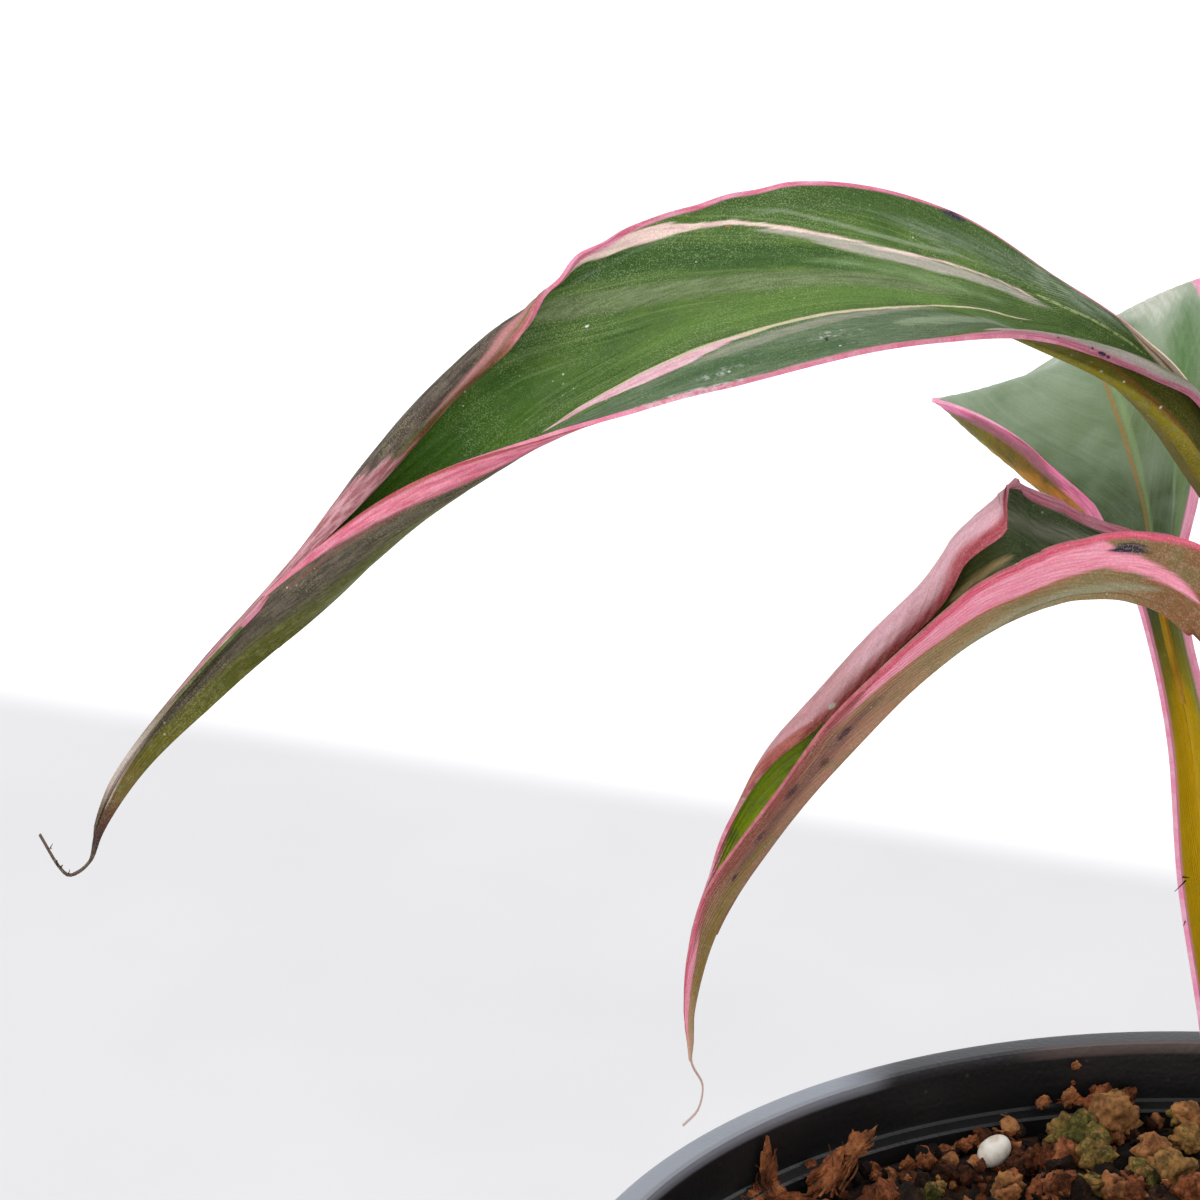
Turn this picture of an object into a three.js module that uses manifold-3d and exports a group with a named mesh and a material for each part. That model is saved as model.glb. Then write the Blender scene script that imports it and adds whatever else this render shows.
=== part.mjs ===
// Potted pink variegated banana: nursery pot, soil, pseudostem, five leaves
// and one rolled young leaf. Millimetres, Z up, origin under the pot's base.
import * as THREE from 'three';
import Module from 'manifold-3d';

// Driving dimensions
const potHeight = 92;
const rimRadius = 53;
const rimLand = 2.6;
const rimBand = 7.8;
const baseRadius = 38.6;
const wallTop = 50.2;
const wall = 1.6;
const ledgeDrop = 5;
const ledgeStep = 1.3;
const drainHoles = 6;
const soilLevel = 86;
const soilGap = 0.3;
const stemX = 4.6;
const stemY = 0.6;
const stemTop = 112;
const holeRadius = 5.5;
const holeFloor = 74;
const bladeAbove = 0.42;
const bladeBelow = 0.18;
const keel = 0.25;

const wasm = await Module();
wasm.setup();

// Seeded random numbers
function randomSource(seed) {
  let state = seed;
  return () => {
    state = (state * 1664525 + 1013904223) % 4294967296;
    return state / 4294967296;
  };
}

// Solid helpers
function toManifold(geometry) {
  const positions = geometry.getAttribute('position');
  const keys = new Map();
  const points = [];
  const remap = [];
  for (let i = 0; i < positions.count; i += 1) {
    const p = [positions.getX(i), positions.getY(i), positions.getZ(i)];
    const key = p.map((v) => Math.round(v * 10000)).join(' ');
    if (!keys.has(key)) {
      keys.set(key, points.length / 3);
      points.push(...p);
    }
    remap.push(keys.get(key));
  }
  const source = geometry.index ? Array.from(geometry.index.array) : remap.map((_, i) => i);
  const triangles = [];
  for (let i = 0; i < source.length; i += 3) {
    const [a, b, c] = [remap[source[i]], remap[source[i + 1]], remap[source[i + 2]]];
    if (a !== b && b !== c && a !== c) {
      triangles.push(a, b, c);
    }
  }
  return new wasm.Manifold(new wasm.Mesh({
    numProp: 3,
    vertProperties: new Float32Array(points),
    triVerts: new Uint32Array(triangles),
  }));
}

function fromManifold(solid) {
  const mesh = solid.getMesh();
  const geometry = new THREE.BufferGeometry();
  geometry.setAttribute('position', new THREE.BufferAttribute(mesh.vertProperties, 3));
  geometry.setIndex(new THREE.BufferAttribute(mesh.triVerts, 1));
  return geometry;
}

function signedVolume(points, triangles) {
  let volume = 0;
  for (let i = 0; i < triangles.length; i += 3) {
    const a = points[triangles[i]];
    const b = points[triangles[i + 1]];
    const c = points[triangles[i + 2]];
    volume += a.dot(b.clone().cross(c)) / 6;
  }
  return volume;
}

function solidFrom(points, triangles) {
  const faces = triangles.slice();
  if (signedVolume(points, faces) < 0) {
    for (let i = 0; i < faces.length; i += 3) {
      [faces[i + 1], faces[i + 2]] = [faces[i + 2], faces[i + 1]];
    }
  }
  const geometry = new THREE.BufferGeometry();
  geometry.setAttribute('position', new THREE.Float32BufferAttribute(points.flatMap((p) => p.toArray()), 3));
  geometry.setIndex(faces);
  return geometry;
}

// Closed solid through rings of equal size, each ring a list of points
function loft(rings) {
  const count = rings[0].length;
  const points = rings.flat();
  const triangles = [];
  for (let i = 0; i + 1 < rings.length; i += 1) {
    for (let j = 0; j < count; j += 1) {
      const k = (j + 1) % count;
      const a = i * count + j;
      const b = i * count + k;
      triangles.push(a, b, b + count, a, b + count, a + count);
    }
  }
  for (const [start, turned] of [[0, true], [(rings.length - 1) * count, false]]) {
    const middle = new THREE.Vector3();
    for (let j = 0; j < count; j += 1) {
      middle.addScaledVector(points[start + j], 1 / count);
    }
    points.push(middle);
    for (let j = 0; j < count; j += 1) {
      const a = start + j;
      const b = start + ((j + 1) % count);
      triangles.push(...(turned ? [points.length - 1, b, a] : [points.length - 1, a, b]));
    }
  }
  return solidFrom(points, triangles);
}

// Pot: turned profile with drain holes cut through the base
function makePot() {
  const bandFoot = potHeight - rimBand;
  const ledge = potHeight - ledgeDrop;
  const innerRim = rimRadius - rimLand;
  const profile = [
    [0, 0],
    [baseRadius - 0.8, 0],
    [baseRadius, 0.8],
    [wallTop - 0.4, bandFoot - 0.6],
    [wallTop + 0.4, bandFoot],
    [rimRadius - 0.5, bandFoot],
    [rimRadius, bandFoot + 0.6],
    [rimRadius, potHeight - 0.9],
    [rimRadius - 0.8, potHeight],
    [innerRim + 0.2, potHeight],
    [innerRim - 0.1, potHeight - 0.9],
    [innerRim - 0.3, ledge],
    [innerRim - ledgeStep - 0.3, ledge - 0.1],
    [innerRim - ledgeStep - 0.5, ledge - 1],
    [baseRadius - wall + 0.6, 3],
    [baseRadius - wall - 0.4, 2.2],
    [0, 2.2],
  ];
  const lathe = new THREE.LatheGeometry(profile.map(([r, z]) => new THREE.Vector2(r, z)), 60);
  lathe.rotateX(Math.PI / 2);
  let pot = toManifold(lathe);
  if (pot.volume() < 0) {
    throw new Error('pot profile is inside out');
  }
  for (let i = 0; i < drainHoles; i += 1) {
    const angle = (i / drainHoles) * 2 * Math.PI;
    const drill = new THREE.CylinderGeometry(4, 4, 6, 12);
    drill.rotateX(Math.PI / 2);
    drill.translate(28 * Math.cos(angle), 28 * Math.sin(angle), 1);
    pot = pot.subtract(toManifold(drill));
  }
  return fromManifold(pot);
}

// Soil: filled cone with a rough top, a plain hole for the stem and fused chips
function soilHeight(x, y) {
  const waves = 0.6 * Math.sin(0.31 * x + 0.9) * Math.cos(0.27 * y - 0.4)
    + 0.5 * Math.sin(0.62 * x - 0.5 * y + 2.1) + 0.35 * Math.cos(0.93 * y + 0.6 * x);
  return soilLevel + waves;
}

function makeSoil() {
  const sides = 48;
  const radiusAt = (z) => baseRadius - wall + 0.6 - soilGap
    + ((rimRadius - rimLand - ledgeStep - 0.5) - (baseRadius - wall + 0.6))
    * ((z - 3) / (potHeight - ledgeDrop - 1 - 3));
  const ring = (radius, centre, height) => {
    const points = [];
    for (let j = 0; j < sides; j += 1) {
      const angle = (j / sides) * 2 * Math.PI;
      const x = centre * stemX + radius * Math.cos(angle);
      const y = centre * stemY + radius * Math.sin(angle);
      points.push(new THREE.Vector3(x, y, height(x, y)));
    }
    return points;
  };
  const edge = soilLevel - 0.6;
  const rings = [
    ring(radiusAt(4), 0, () => 4),
    ring(radiusAt(edge), 0, () => edge),
  ];
  for (const [radius, centre] of [[44, 0.1], [39, 0.2], [34, 0.3], [29, 0.4], [24, 0.55],
    [19, 0.7], [14.5, 0.85], [10.5, 1], [7.8, 1]]) {
    rings.push(ring(radius, centre, soilHeight));
  }
  rings.push(ring(holeRadius, 1, () => soilLevel - 0.4));
  rings.push(ring(holeRadius, 1, () => holeFloor));
  let soil = toManifold(loft(rings));
  const random = randomSource(18);
  const chips = [];
  const places = [[-17.1, 39.8]];
  for (let i = 0; i < 70; i += 1) {
    const angle = random() * 2 * Math.PI;
    const radius = 10 + 32 * Math.sqrt(random());
    const x = stemX * 0.4 + radius * Math.cos(angle);
    const y = radius * Math.sin(angle);
    const size = [2.2 + 2.6 * random(), 1.2 + 1.6 * random(), 1.2 + 0.9 * random()];
    if (places.some(([px, py]) => Math.hypot(px - x, py - y) < 6.2)) {
      continue;
    }
    places.push([x, y]);
    const chip = new THREE.BoxGeometry(...size);
    chip.rotateX(0.5 * random() - 0.25);
    chip.rotateY(0.8 * random() - 0.4);
    chip.rotateZ(2 * Math.PI * random());
    chip.translate(x, y, soilHeight(x, y) + 0.2);
    chips.push(toManifold(chip));
  }
  const bead = new THREE.SphereGeometry(1.4, 10, 7);
  bead.scale(1.1, 1, 0.85);
  bead.rotateY(0.35);
  bead.rotateZ(0.7);
  bead.translate(-17.1, 39.8, soilHeight(-17.1, 39.8) + 0.9);
  chips.push(toManifold(bead));
  for (const chip of chips) {
    soil = soil.add(chip);
  }
  return fromManifold(soil);
}

// Pseudostem: swept body that narrows upward, its sheaths as shallow ridges
function makeStem() {
  const rings = [];
  for (const [z, radius] of [[75, 3.6], [80, 4], [86, 4.05], [92, 3.95], [98, 3.75],
    [104, 3.4], [109, 2.9], [stemTop, 2.3]]) {
    const ring = [];
    for (let j = 0; j < 24; j += 1) {
      const angle = (j / 24) * 2 * Math.PI;
      const r = radius * (0.97 + 0.03 * Math.cos(3 * angle + 0.05 * z));
      ring.push(new THREE.Vector3(stemX + r * Math.cos(angle), stemY + r * Math.sin(angle), z));
    }
    rings.push(ring);
  }
  return loft(rings);
}

// Catmull-Rom value of a list of equal rows at position t
function splineRow(rows, t) {
  const last = rows.length - 1;
  const at = Math.min(Math.max(t, 0), last - 1e-9);
  const i = Math.floor(at);
  const f = at - i;
  return rows[i].map((p1, k) => {
    const p2 = rows[i + 1][k];
    const p0 = i > 0 ? rows[i - 1][k] : 2 * p1 - p2;
    const p3 = i + 2 <= last ? rows[i + 2][k] : 2 * p2 - p1;
    return 0.5 * (2 * p1 + (p2 - p0) * f + (2 * p0 - 5 * p1 + 4 * p2 - p3) * f * f
      + (3 * p1 - p0 - 3 * p2 + p3) * f * f * f);
  });
}

function smooth(x) {
  const c = Math.min(Math.max(x, 0), 1);
  return c * c * (3 - 2 * c);
}

// Leaf blade: a midrib spline carries a folded cross-section. Station columns:
// x, y, z, turn, then width, fold, curl and lip of the left and the right half.
function leafRows(leaf) {
  const rows = [];
  const last = leaf.stations.length - 1;
  const heading = THREE.MathUtils.degToRad(leaf.heading);
  const across = new THREE.Vector3(Math.sin(heading), -Math.cos(heading), 0);
  const midrib = (t) => new THREE.Vector3(...splineRow(leaf.stations, t));
  const positions = [];
  for (let i = 0; i < last; i += 1) {
    const length = midrib(i).distanceTo(midrib(i + 1));
    const steps = Math.max(1, Math.round(length / (i < leaf.petiole ? 9 : leaf.step)));
    for (let j = 0; j < steps; j += 1) {
      positions.push(i + j / steps);
    }
  }
  positions.push(last);
  for (const t of positions) {
    const values = splineRow(leaf.stations, t);
    const centre = midrib(t);
    const along = midrib(Math.min(t + 0.001, last)).sub(midrib(Math.max(t - 0.001, 0))).normalize();
    const side = across.clone().addScaledVector(along, -across.dot(along)).normalize();
    const up = side.clone().cross(along);
    const turn = THREE.MathUtils.degToRad(values[3]);
    const s = side.clone().multiplyScalar(Math.cos(turn)).addScaledVector(up, Math.sin(turn));
    const n = up.clone().multiplyScalar(Math.cos(turn)).addScaledVector(side, -Math.sin(turn));
    const half = (sign, offset, breaks) => {
      const [width, fold, curl, lip] = values.slice(offset, offset + 4);
      const pieces = [];
      let out = 0;
      let rise = 0;
      let done = 0;
      for (const stop of breaks) {
        const steps = Math.max(1, Math.round((stop - done) * 40));
        let angle = 0;
        for (let k = 0; k < steps; k += 1) {
          const u = done + ((k + 0.5) / steps) * (stop - done);
          angle = THREE.MathUtils.degToRad(fold + curl * u + lip * smooth((u - 0.55) / 0.45));
          out += (Math.cos(angle) * width * (stop - done)) / steps;
          rise += (Math.sin(angle) * width * (stop - done)) / steps;
        }
        const point = centre.clone().addScaledVector(s, sign * out).addScaledVector(n, rise);
        const normal = n.clone().multiplyScalar(Math.cos(angle))
          .addScaledVector(s, -sign * Math.sin(angle));
        pieces.push({ point, normal });
        done = stop;
      }
      return pieces;
    };
    const left = half(-1, 4, leaf.leftBreaks).reverse();
    const right = half(1, 8, leaf.rightBreaks);
    const ridge = keel * Math.min(1, (values[4] + values[8]) / 8);
    rows.push([...left, { point: centre, normal: n, ridge }, ...right]);
  }
  return rows;
}

function makeLeaf(leaf) {
  const rows = leafRows(leaf);
  const columns = rows[0].length;
  const points = [];
  for (const row of rows) {
    for (const { point, normal } of row) {
      points.push(point.clone().addScaledVector(normal, bladeAbove));
    }
  }
  for (const row of rows) {
    for (const { point, normal, ridge } of row) {
      points.push(point.clone().addScaledVector(normal, -bladeBelow - (ridge || 0)));
    }
  }
  const under = rows.length * columns;
  const triangles = [];
  for (let i = 0; i + 1 < rows.length; i += 1) {
    for (let j = 0; j + 1 < columns; j += 1) {
      const a = i * columns + j;
      const b = a + columns;
      triangles.push(a, b, b + 1, a, b + 1, a + 1);
      triangles.push(under + a, under + b + 1, under + b, under + a, under + a + 1, under + b + 1);
    }
    const first = i * columns;
    const end = first + columns - 1;
    triangles.push(first, under + first, under + first + columns);
    triangles.push(first, under + first + columns, first + columns);
    triangles.push(end, end + columns, under + end + columns);
    triangles.push(end, under + end + columns, under + end);
  }
  for (let j = 0; j + 1 < columns; j += 1) {
    const a = j;
    const b = (rows.length - 1) * columns + j;
    triangles.push(a, a + 1, under + a + 1, a, under + a + 1, under + a);
    triangles.push(b, under + b + 1, b + 1, b, under + b, under + b + 1);
  }
  return solidFrom(points, triangles);
}

const evenBreaks = [0.28, 0.54, 0.78, 1];
const rollBreaks = [0.22, 0.4, 0.54, 0.66, 0.76, 0.84, 0.92, 1];

// Leaf 1: the large arching leaf, its far margin rolled over toward the tip
const leaf1 = {
  heading: 180,
  petiole: 5,
  step: 3.3,
  leftBreaks: [0.3, 0.55, 0.76, 0.9, 1],
  rightBreaks: rollBreaks,
  stations: [
    [6.6, -3.7, 80, -115, 2.1, 0, 26, 0, 2.1, 0, 26, 0],
    [6.5, -3.8, 95, -112, 2.1, 5, 32, 0, 2.1, 5, 32, 0],
    [5.9, -4.3, 115, -103, 2.2, 25, 60, 0, 2.2, 25, 60, 0],
    [3.9, -5, 138, -90, 2.4, 35, 70, 0, 2.4, 35, 70, 0],
    [0.2, -6.2, 156, -75, 2.8, 35, 70, 0, 3, 35, 70, 0],
    [-7, -8, 170, -77, 2.9, 32, 68, -2, 7.9, 21, 142, 7],
    [-12.1, -9.5, 176.3, -45, 2.3, 0, 45, -13, 7.9, 1, 123, 12],
    [-18.8, -10, 180.1, -16, 4.2, -6, 35, 0, 7.8, 2, 70, 15],
    [-26.2, -10.5, 183.2, 6, 7.1, -2, 18, 7, 8.7, 4, 39, 5],
    [-34.3, -11, 184.2, 14, 9.2, 0, 11, 2, 9.4, 4, 34, -3],
    [-42.7, -12, 182.9, 15, 9.2, -4, 8, 2, 9.1, -3, 44, 5],
    [-49.5, -13.5, 180, 19, 8, -5, 13, 19, 8.1, 2, 70, 55],
    [-55.7, -15.5, 176.4, 27, 6.4, -3, 25, 56, 8.6, 21, 89, 170],
    [-61.3, -18, 171.4, 22, 8.3, 5, 69, 65, 8.4, 33, 102, 138],
    [-68, -20, 164.6, 17, 6.3, 14, 113, 43, 6.1, 30, 116, 60],
    [-75.2, -22, 158.4, 13, 3, 41, 116, 4, 4.3, 38, 129, 22],
    [-81, -23.5, 152.8, 12, 1.4, 46, 91, 0, 2.3, 45, 117, 2],
    [-84.2, -24, 147.9, 10, 0.7, 46, 60, -1, 1, 44, 79, -4],
    [-85.2, -24, 144.8, 10, 0.4, 20, 20, 0, 0.4, 20, 20, 0],
    [-86.7, -24, 143.6, 10, 0.3, 0, 0, 0, 0.3, 0, 0, 0],
    [-87.7, -24, 144.3, 10, 0.3, 0, 0, 0, 0.3, 0, 0, 0],
    [-88.9, -24, 146.6, 10, 0.3, 0, 0, 0, 0.3, 0, 0, 0],
  ],
};

// Leaf 2: the lower drooping leaf, folded upward with a rolled far margin
const leaf2 = {
  heading: 180,
  petiole: 4,
  step: 2.9,
  leftBreaks: [0.35, 0.7, 1],
  rightBreaks: rollBreaks,
  stations: [
    [1.9, -3.3, 80, -55, 2.1, 0, 26, 0, 2.1, 0, 26, 0],
    [1.6, -3.7, 95, -55, 2.1, 5, 32, 0, 2.1, 5, 32, 0],
    [0.7, -5.2, 115, -50, 2.2, 25, 60, 0, 2.2, 25, 60, 0],
    [-0.8, -7.6, 138, -42, 2.6, 35, 70, 0, 2.6, 35, 70, 0],
    [-2.9, -10, 152, -30, 3.4, 38, 62, 0, 3.4, 38, 62, 0],
    [-7.9, -11.56, 159.3, -26, 5.6, 43, 51, 0, 6.1, 41, 45, -7],
    [-11.7, -12.39, 161.54, -26, 5.3, 44, 45, 0, 6.5, 33, 28, 14],
    [-15.3, -12.95, 161.93, -20, 5, 40, 37, 0, 8.7, 32, 18, 40],
    [-17.4, -13.19, 161.54, -16, 4.9, 38, 33, 0, 11.1, 36, 25, 71],
    [-18.5, -13.29, 161.18, -12, 4.9, 38, 30, 0, 12.2, 45, 78, 152],
    [-19.6, -13.39, 160.72, -16, 4.8, 34, 28, 0, 11.9, 36, 108, 145],
    [-21.3, -13.52, 159.81, -22, 4.6, 27, 26, 0, 11.8, 17, 130, 137],
    [-23.9, -13.68, 157.98, -26, 4.3, 18, 23, 0, 11.4, -3, 174, 144],
    [-27.42, -13.86, 154.69, -27, 4.1, 14, 23, 0, 10.7, -6, 204, 132],
    [-30.93, -14, 150.6, -25, 3.8, 16, 30, 0, 9.2, 3, 195, 126],
    [-34.48, -14, 146.1, -17, 3.5, 14, 29, 0, 7.4, 11, 137, 101],
    [-37.28, -13.5, 141.63, -16, 3.2, 15, 32, 0, 5.3, 14, 89, 88],
    [-39.71, -13.5, 137.39, -19, 2.6, 17, 38, 0, 3.5, 15, 53, 59],
    [-41.23, -13, 132.98, -12, 1.8, 20, 42, 0, 2.2, 24, 40, 26],
    [-42.15, -12.3, 127.6, -10, 0.8, 32, 50, 0, 0.8, 32, 50, 0],
    [-42.1, -12, 124.6, -8, 0.5, 30, 40, 0, 0.5, 30, 40, 0],
    [-42, -12, 122.9, 0, 0.3, 0, 0, 0, 0.3, 0, 0, 0],
    [-41.2, -12, 121.2, 0, 0.3, 0, 0, 0, 0.3, 0, 0, 0],
    [-41.5, -12, 119.1, 0, 0.3, 0, 0, 0, 0.3, 0, 0, 0],
    [-42.6, -12, 117.7, 0, 0.3, 0, 0, 0, 0.3, 0, 0, 0],
  ],
};

// Leaf 3: the leaf behind, arching away with its left margin curled up
const leaf3 = {
  heading: 98,
  petiole: 5,
  step: 3.6,
  leftBreaks: [0.25, 0.48, 0.68, 0.85, 1],
  rightBreaks: evenBreaks,
  stations: [
    [0.8, 3.3, 80, -47, 2.1, 0, 26, 0, 2.1, 0, 26, 0],
    [0.3, 3.3, 95, -44, 2.1, 5, 32, 0, 2.1, 5, 32, 0],
    [-2.1, 3.1, 118, -22, 2, 30, 60, 0, 2, 30, 60, 0],
    [-4.1, 3.8, 131.6, -8, 1.9, 35, 60, 0, 1.9, 35, 60, 0],
    [-5.5, 5.5, 141.7, 0, 1.9, 35, 60, 0, 1.9, 35, 60, 0],
    [-7.5, 7.5, 149.6, 5, 2.1, 30, 50, 0, 2.2, 30, 50, 0],
    [-8.6, 9.5, 154, 11, 3.3, 25, 42, 44, 3.3, 21, 40, 0],
    [-9.4, 11.8, 157.6, 16, 8.1, 16, 41, 109, 4.9, 10, 20, 0],
    [-10.6, 15, 160.7, 21, 12.2, 7, 27, 117, 7.4, 4, 10, 0],
    [-11.8, 20, 162.7, 21, 13.8, 9, 4, 63, 9.2, 2, 0, 0],
    [-12.8, 26, 163.2, 24, 12.5, 9, -8, 32, 10.4, 5, 0, 0],
    [-13.5, 33, 161.6, 21, 11, 6, -14, 8, 10.2, 2, -4, 0],
    [-13.3, 41, 157.5, 20, 8.4, -3, -12, -5, 9, -6, -15, 0],
    [-12.6, 47.5, 152.4, 16, 6.8, 0, 0, 0, 7.2, 0, 0, 0],
    [-11.7, 52, 147, 10, 4.6, 10, 20, 0, 4.8, 10, 20, 0],
    [-10.9, 54.5, 142.8, 5, 2, 20, 40, 0, 2, 20, 40, 0],
    [-10.4, 55.5, 140.6, 0, 0.4, 10, 20, 0, 0.4, 10, 20, 0],
    [-10, 55.5, 139.3, 0, 0.3, 0, 0, 0, 0.3, 0, 0, 0],
  ],
};

// Leaf 4: completed leaf on the right, arching like leaf 1
const leaf4 = {
  heading: 0,
  petiole: 4,
  step: 4.8,
  leftBreaks: evenBreaks,
  rightBreaks: evenBreaks,
  stations: [
    [9.3, 0.6, 80, 0, 2.1, 0, 26, 0, 2.1, 0, 26, 0],
    [9.4, 0.6, 95, 0, 2.1, 5, 32, 0, 2.1, 5, 32, 0],
    [10.2, 0.4, 112, 0, 2.2, 25, 60, 0, 2.2, 25, 60, 0],
    [12, 0, 130, -4, 2.4, 32, 62, 0, 2.4, 32, 62, 0],
    [16, -1, 147, -8, 3.0, 30, 55, 0, 3.0, 30, 55, 0],
    [23, -2.5, 160, -10, 4.8, 24, 40, 0, 4.8, 24, 40, 0],
    [33, -4.5, 169, -12, 7.8, 14, 26, 0, 7.6, 14, 24, 0],
    [45, -6.5, 173, -14, 10.0, 8, 18, 0, 9.8, 8, 14, 10],
    [57, -8.5, 171.5, -14, 10.6, 6, 14, 10, 10.4, 4, 14, 0],
    [69, -10.5, 165.5, -12, 9.6, 8, 20, 15, 9.4, 6, 18, 0],
    [80, -12, 156, -8, 7.4, 12, 30, 20, 7.2, 10, 30, 10],
    [89, -13, 145, -4, 4.6, 20, 50, 20, 4.4, 20, 40, 10],
    [95, -13.5, 135, 0, 2.2, 30, 60, 0, 2.2, 30, 60, 0],
    [98, -13.6, 128, 0, 0.7, 25, 50, 0, 0.7, 25, 50, 0],
    [98.6, -13.6, 124, 0, 0.3, 0, 0, 0, 0.3, 0, 0, 0],
    [100.6, -13.6, 121, 0, 0.3, 0, 0, 0, 0.3, 0, 0, 0],
  ],
};

// Leaf 5: completed younger leaf, upright and bending back to the right
const leaf5 = {
  heading: 60,
  petiole: 4,
  step: 4.8,
  leftBreaks: evenBreaks,
  rightBreaks: evenBreaks,
  stations: [
    [5.4, 5.2, 80, -20, 2.1, 0, 26, 0, 2.1, 0, 26, 0],
    [5.5, 5.4, 95, -20, 2.1, 5, 32, 0, 2.1, 5, 32, 0],
    [5.9, 6.2, 113, -16, 2.2, 25, 60, 0, 2.2, 25, 60, 0],
    [6.9, 7.6, 136, -10, 2.4, 32, 60, 0, 2.4, 32, 60, 0],
    [8.7, 9.6, 158, -4, 3.0, 30, 50, 0, 3.0, 30, 50, 0],
    [11, 13, 176, 0, 5.0, 25, 36, 0, 5.2, 25, 34, 0],
    [14.5, 19, 190, 4, 7.8, 18, 24, 0, 8.0, 16, 24, 0],
    [19, 27, 199, 6, 9.4, 12, 20, 0, 9.4, 10, 18, 10],
    [24, 36, 203, 6, 9.2, 8, 20, 10, 9.0, 8, 18, 10],
    [29, 45, 202, 4, 7.2, 12, 24, 10, 7.2, 10, 22, 0],
    [33.5, 53, 197, 2, 4.4, 18, 34, 0, 4.4, 16, 30, 0],
    [36.5, 58.5, 190.5, 0, 1.8, 25, 40, 0, 1.8, 25, 40, 0],
    [37.8, 61, 186, 0, 0.5, 15, 20, 0, 0.5, 15, 20, 0],
    [38, 62, 182.5, 0, 0.3, 0, 0, 0, 0.3, 0, 0, 0],
  ],
};

// Rolled young leaf standing in the middle of the stem, its free edge as a step
function makeSpear() {
  const path = [
    [4.6, 0.6, 112.4, 2.1],
    [4.9, 0.5, 126, 2.5],
    [5.5, 0.2, 144, 2.5],
    [6.4, -0.4, 162, 2.2],
    [7.8, -1.2, 179, 1.5],
    [9, -2, 191, 0.7],
    [9.5, -2.4, 197, 0.35],
  ];
  const sides = 16;
  const rings = [];
  for (let i = 0; i <= 18; i += 1) {
    const t = (i / 18) * (path.length - 1);
    const [x, y, z, radius] = splineRow(path, t);
    const seam = 0.5 - 0.12 * i;
    const ring = [];
    for (let j = 0; j < sides; j += 1) {
      const share = j / (sides - 1);
      const angle = seam + share * 2 * Math.PI * 0.985;
      const r = radius * (0.84 + 0.16 * share);
      ring.push(new THREE.Vector3(x + r * Math.cos(angle), y + r * Math.sin(angle), z));
    }
    rings.push(ring);
  }
  return loft(rings);
}

const group = new THREE.Group();
const container = new THREE.Group();
const plant = new THREE.Group();
group.add(container, plant);

function addNode(parent, name, geometry, colour, roughness) {
  const bare = geometry.index ? geometry.toNonIndexed() : geometry;
  bare.deleteAttribute('uv');
  bare.computeVertexNormals();
  const material = new THREE.MeshStandardMaterial({ color: colour, roughness, metalness: 0 });
  const mesh = new THREE.Mesh(bare, material);
  mesh.name = name;
  parent.add(mesh);
}

addNode(container, 'pot', makePot(), 0x17181a, 0.4);
addNode(container, 'soil', makeSoil(), 0x3b2a1c, 0.95);
addNode(plant, 'pseudostem', makeStem(), 0x8a8a4a, 0.5);
addNode(plant, 'leaf_1', makeLeaf(leaf1), 0x4f7a45, 0.5);
addNode(plant, 'leaf_2', makeLeaf(leaf2), 0x8f7a58, 0.5);
addNode(plant, 'leaf_3', makeLeaf(leaf3), 0x6f9070, 0.5);
addNode(plant, 'leaf_4', makeLeaf(leaf4), 0x5a8550, 0.5);
addNode(plant, 'leaf_5', makeLeaf(leaf5), 0x5f8a55, 0.5);
addNode(plant, 'spear_leaf', makeSpear(), 0x8fae6a, 0.5);

export default group;
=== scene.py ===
import math
import random
from types import SimpleNamespace
import bpy
import numpy as np
from mathutils import Euler, Matrix, Vector, noise


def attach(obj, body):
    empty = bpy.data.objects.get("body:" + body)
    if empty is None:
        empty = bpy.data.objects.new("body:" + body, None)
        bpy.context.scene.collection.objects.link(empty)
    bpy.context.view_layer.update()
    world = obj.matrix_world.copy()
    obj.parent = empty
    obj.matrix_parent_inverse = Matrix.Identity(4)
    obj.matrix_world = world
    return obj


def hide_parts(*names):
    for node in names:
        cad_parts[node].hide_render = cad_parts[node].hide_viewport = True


# Potted pink variegated banana: a black nursery pot, soil, five leaves and a rolled young leaf.
# Tables are in millimetres and colours run 0-255. Every mesh is written in metres.
mm = 0.001
fullTurn = 2 * math.pi
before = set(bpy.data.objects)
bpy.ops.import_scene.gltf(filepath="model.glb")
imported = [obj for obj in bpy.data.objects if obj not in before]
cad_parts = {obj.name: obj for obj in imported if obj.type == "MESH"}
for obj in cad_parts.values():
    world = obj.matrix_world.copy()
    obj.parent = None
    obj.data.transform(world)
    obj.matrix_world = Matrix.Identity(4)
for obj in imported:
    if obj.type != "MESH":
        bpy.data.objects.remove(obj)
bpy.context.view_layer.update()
print("frame loaded:", sorted(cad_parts))

cameraPlace = {
    "aim": (-49.5, 0, 154.8),
    "distance": 608.4,
    "elevation": 25.05,
    "roll": 1.0,
    "lens": 249.6,
    "sensor": 36,
    "pictureSide": 1200,
}


def cameraAxes():
    lift = math.radians(cameraPlace["elevation"])
    roll = math.radians(cameraPlace["roll"])
    forward = Vector((0, math.cos(lift), -math.sin(lift)))
    right = Vector((1, 0, 0))
    up = right.cross(forward)
    turnedRight = right * math.cos(roll) + up * math.sin(roll)
    turnedUp = up * math.cos(roll) - right * math.sin(roll)
    return Vector(cameraPlace["aim"]) - forward * cameraPlace["distance"], forward, turnedRight, turnedUp


def makeCamera():
    eye, forward, right, up = cameraAxes()
    data = bpy.data.cameras.new("photoCamera")
    data.lens = cameraPlace["lens"]
    data.sensor_width = cameraPlace["sensor"]
    data.clip_start = 0.01
    data.clip_end = 50
    camera = bpy.data.objects.new("photoCamera", data)
    bpy.context.scene.collection.objects.link(camera)
    turn = Matrix((right, up, -forward)).transposed().to_4x4()
    camera.matrix_world = Matrix.Translation(eye * mm) @ turn
    bpy.context.scene.camera = camera


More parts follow.
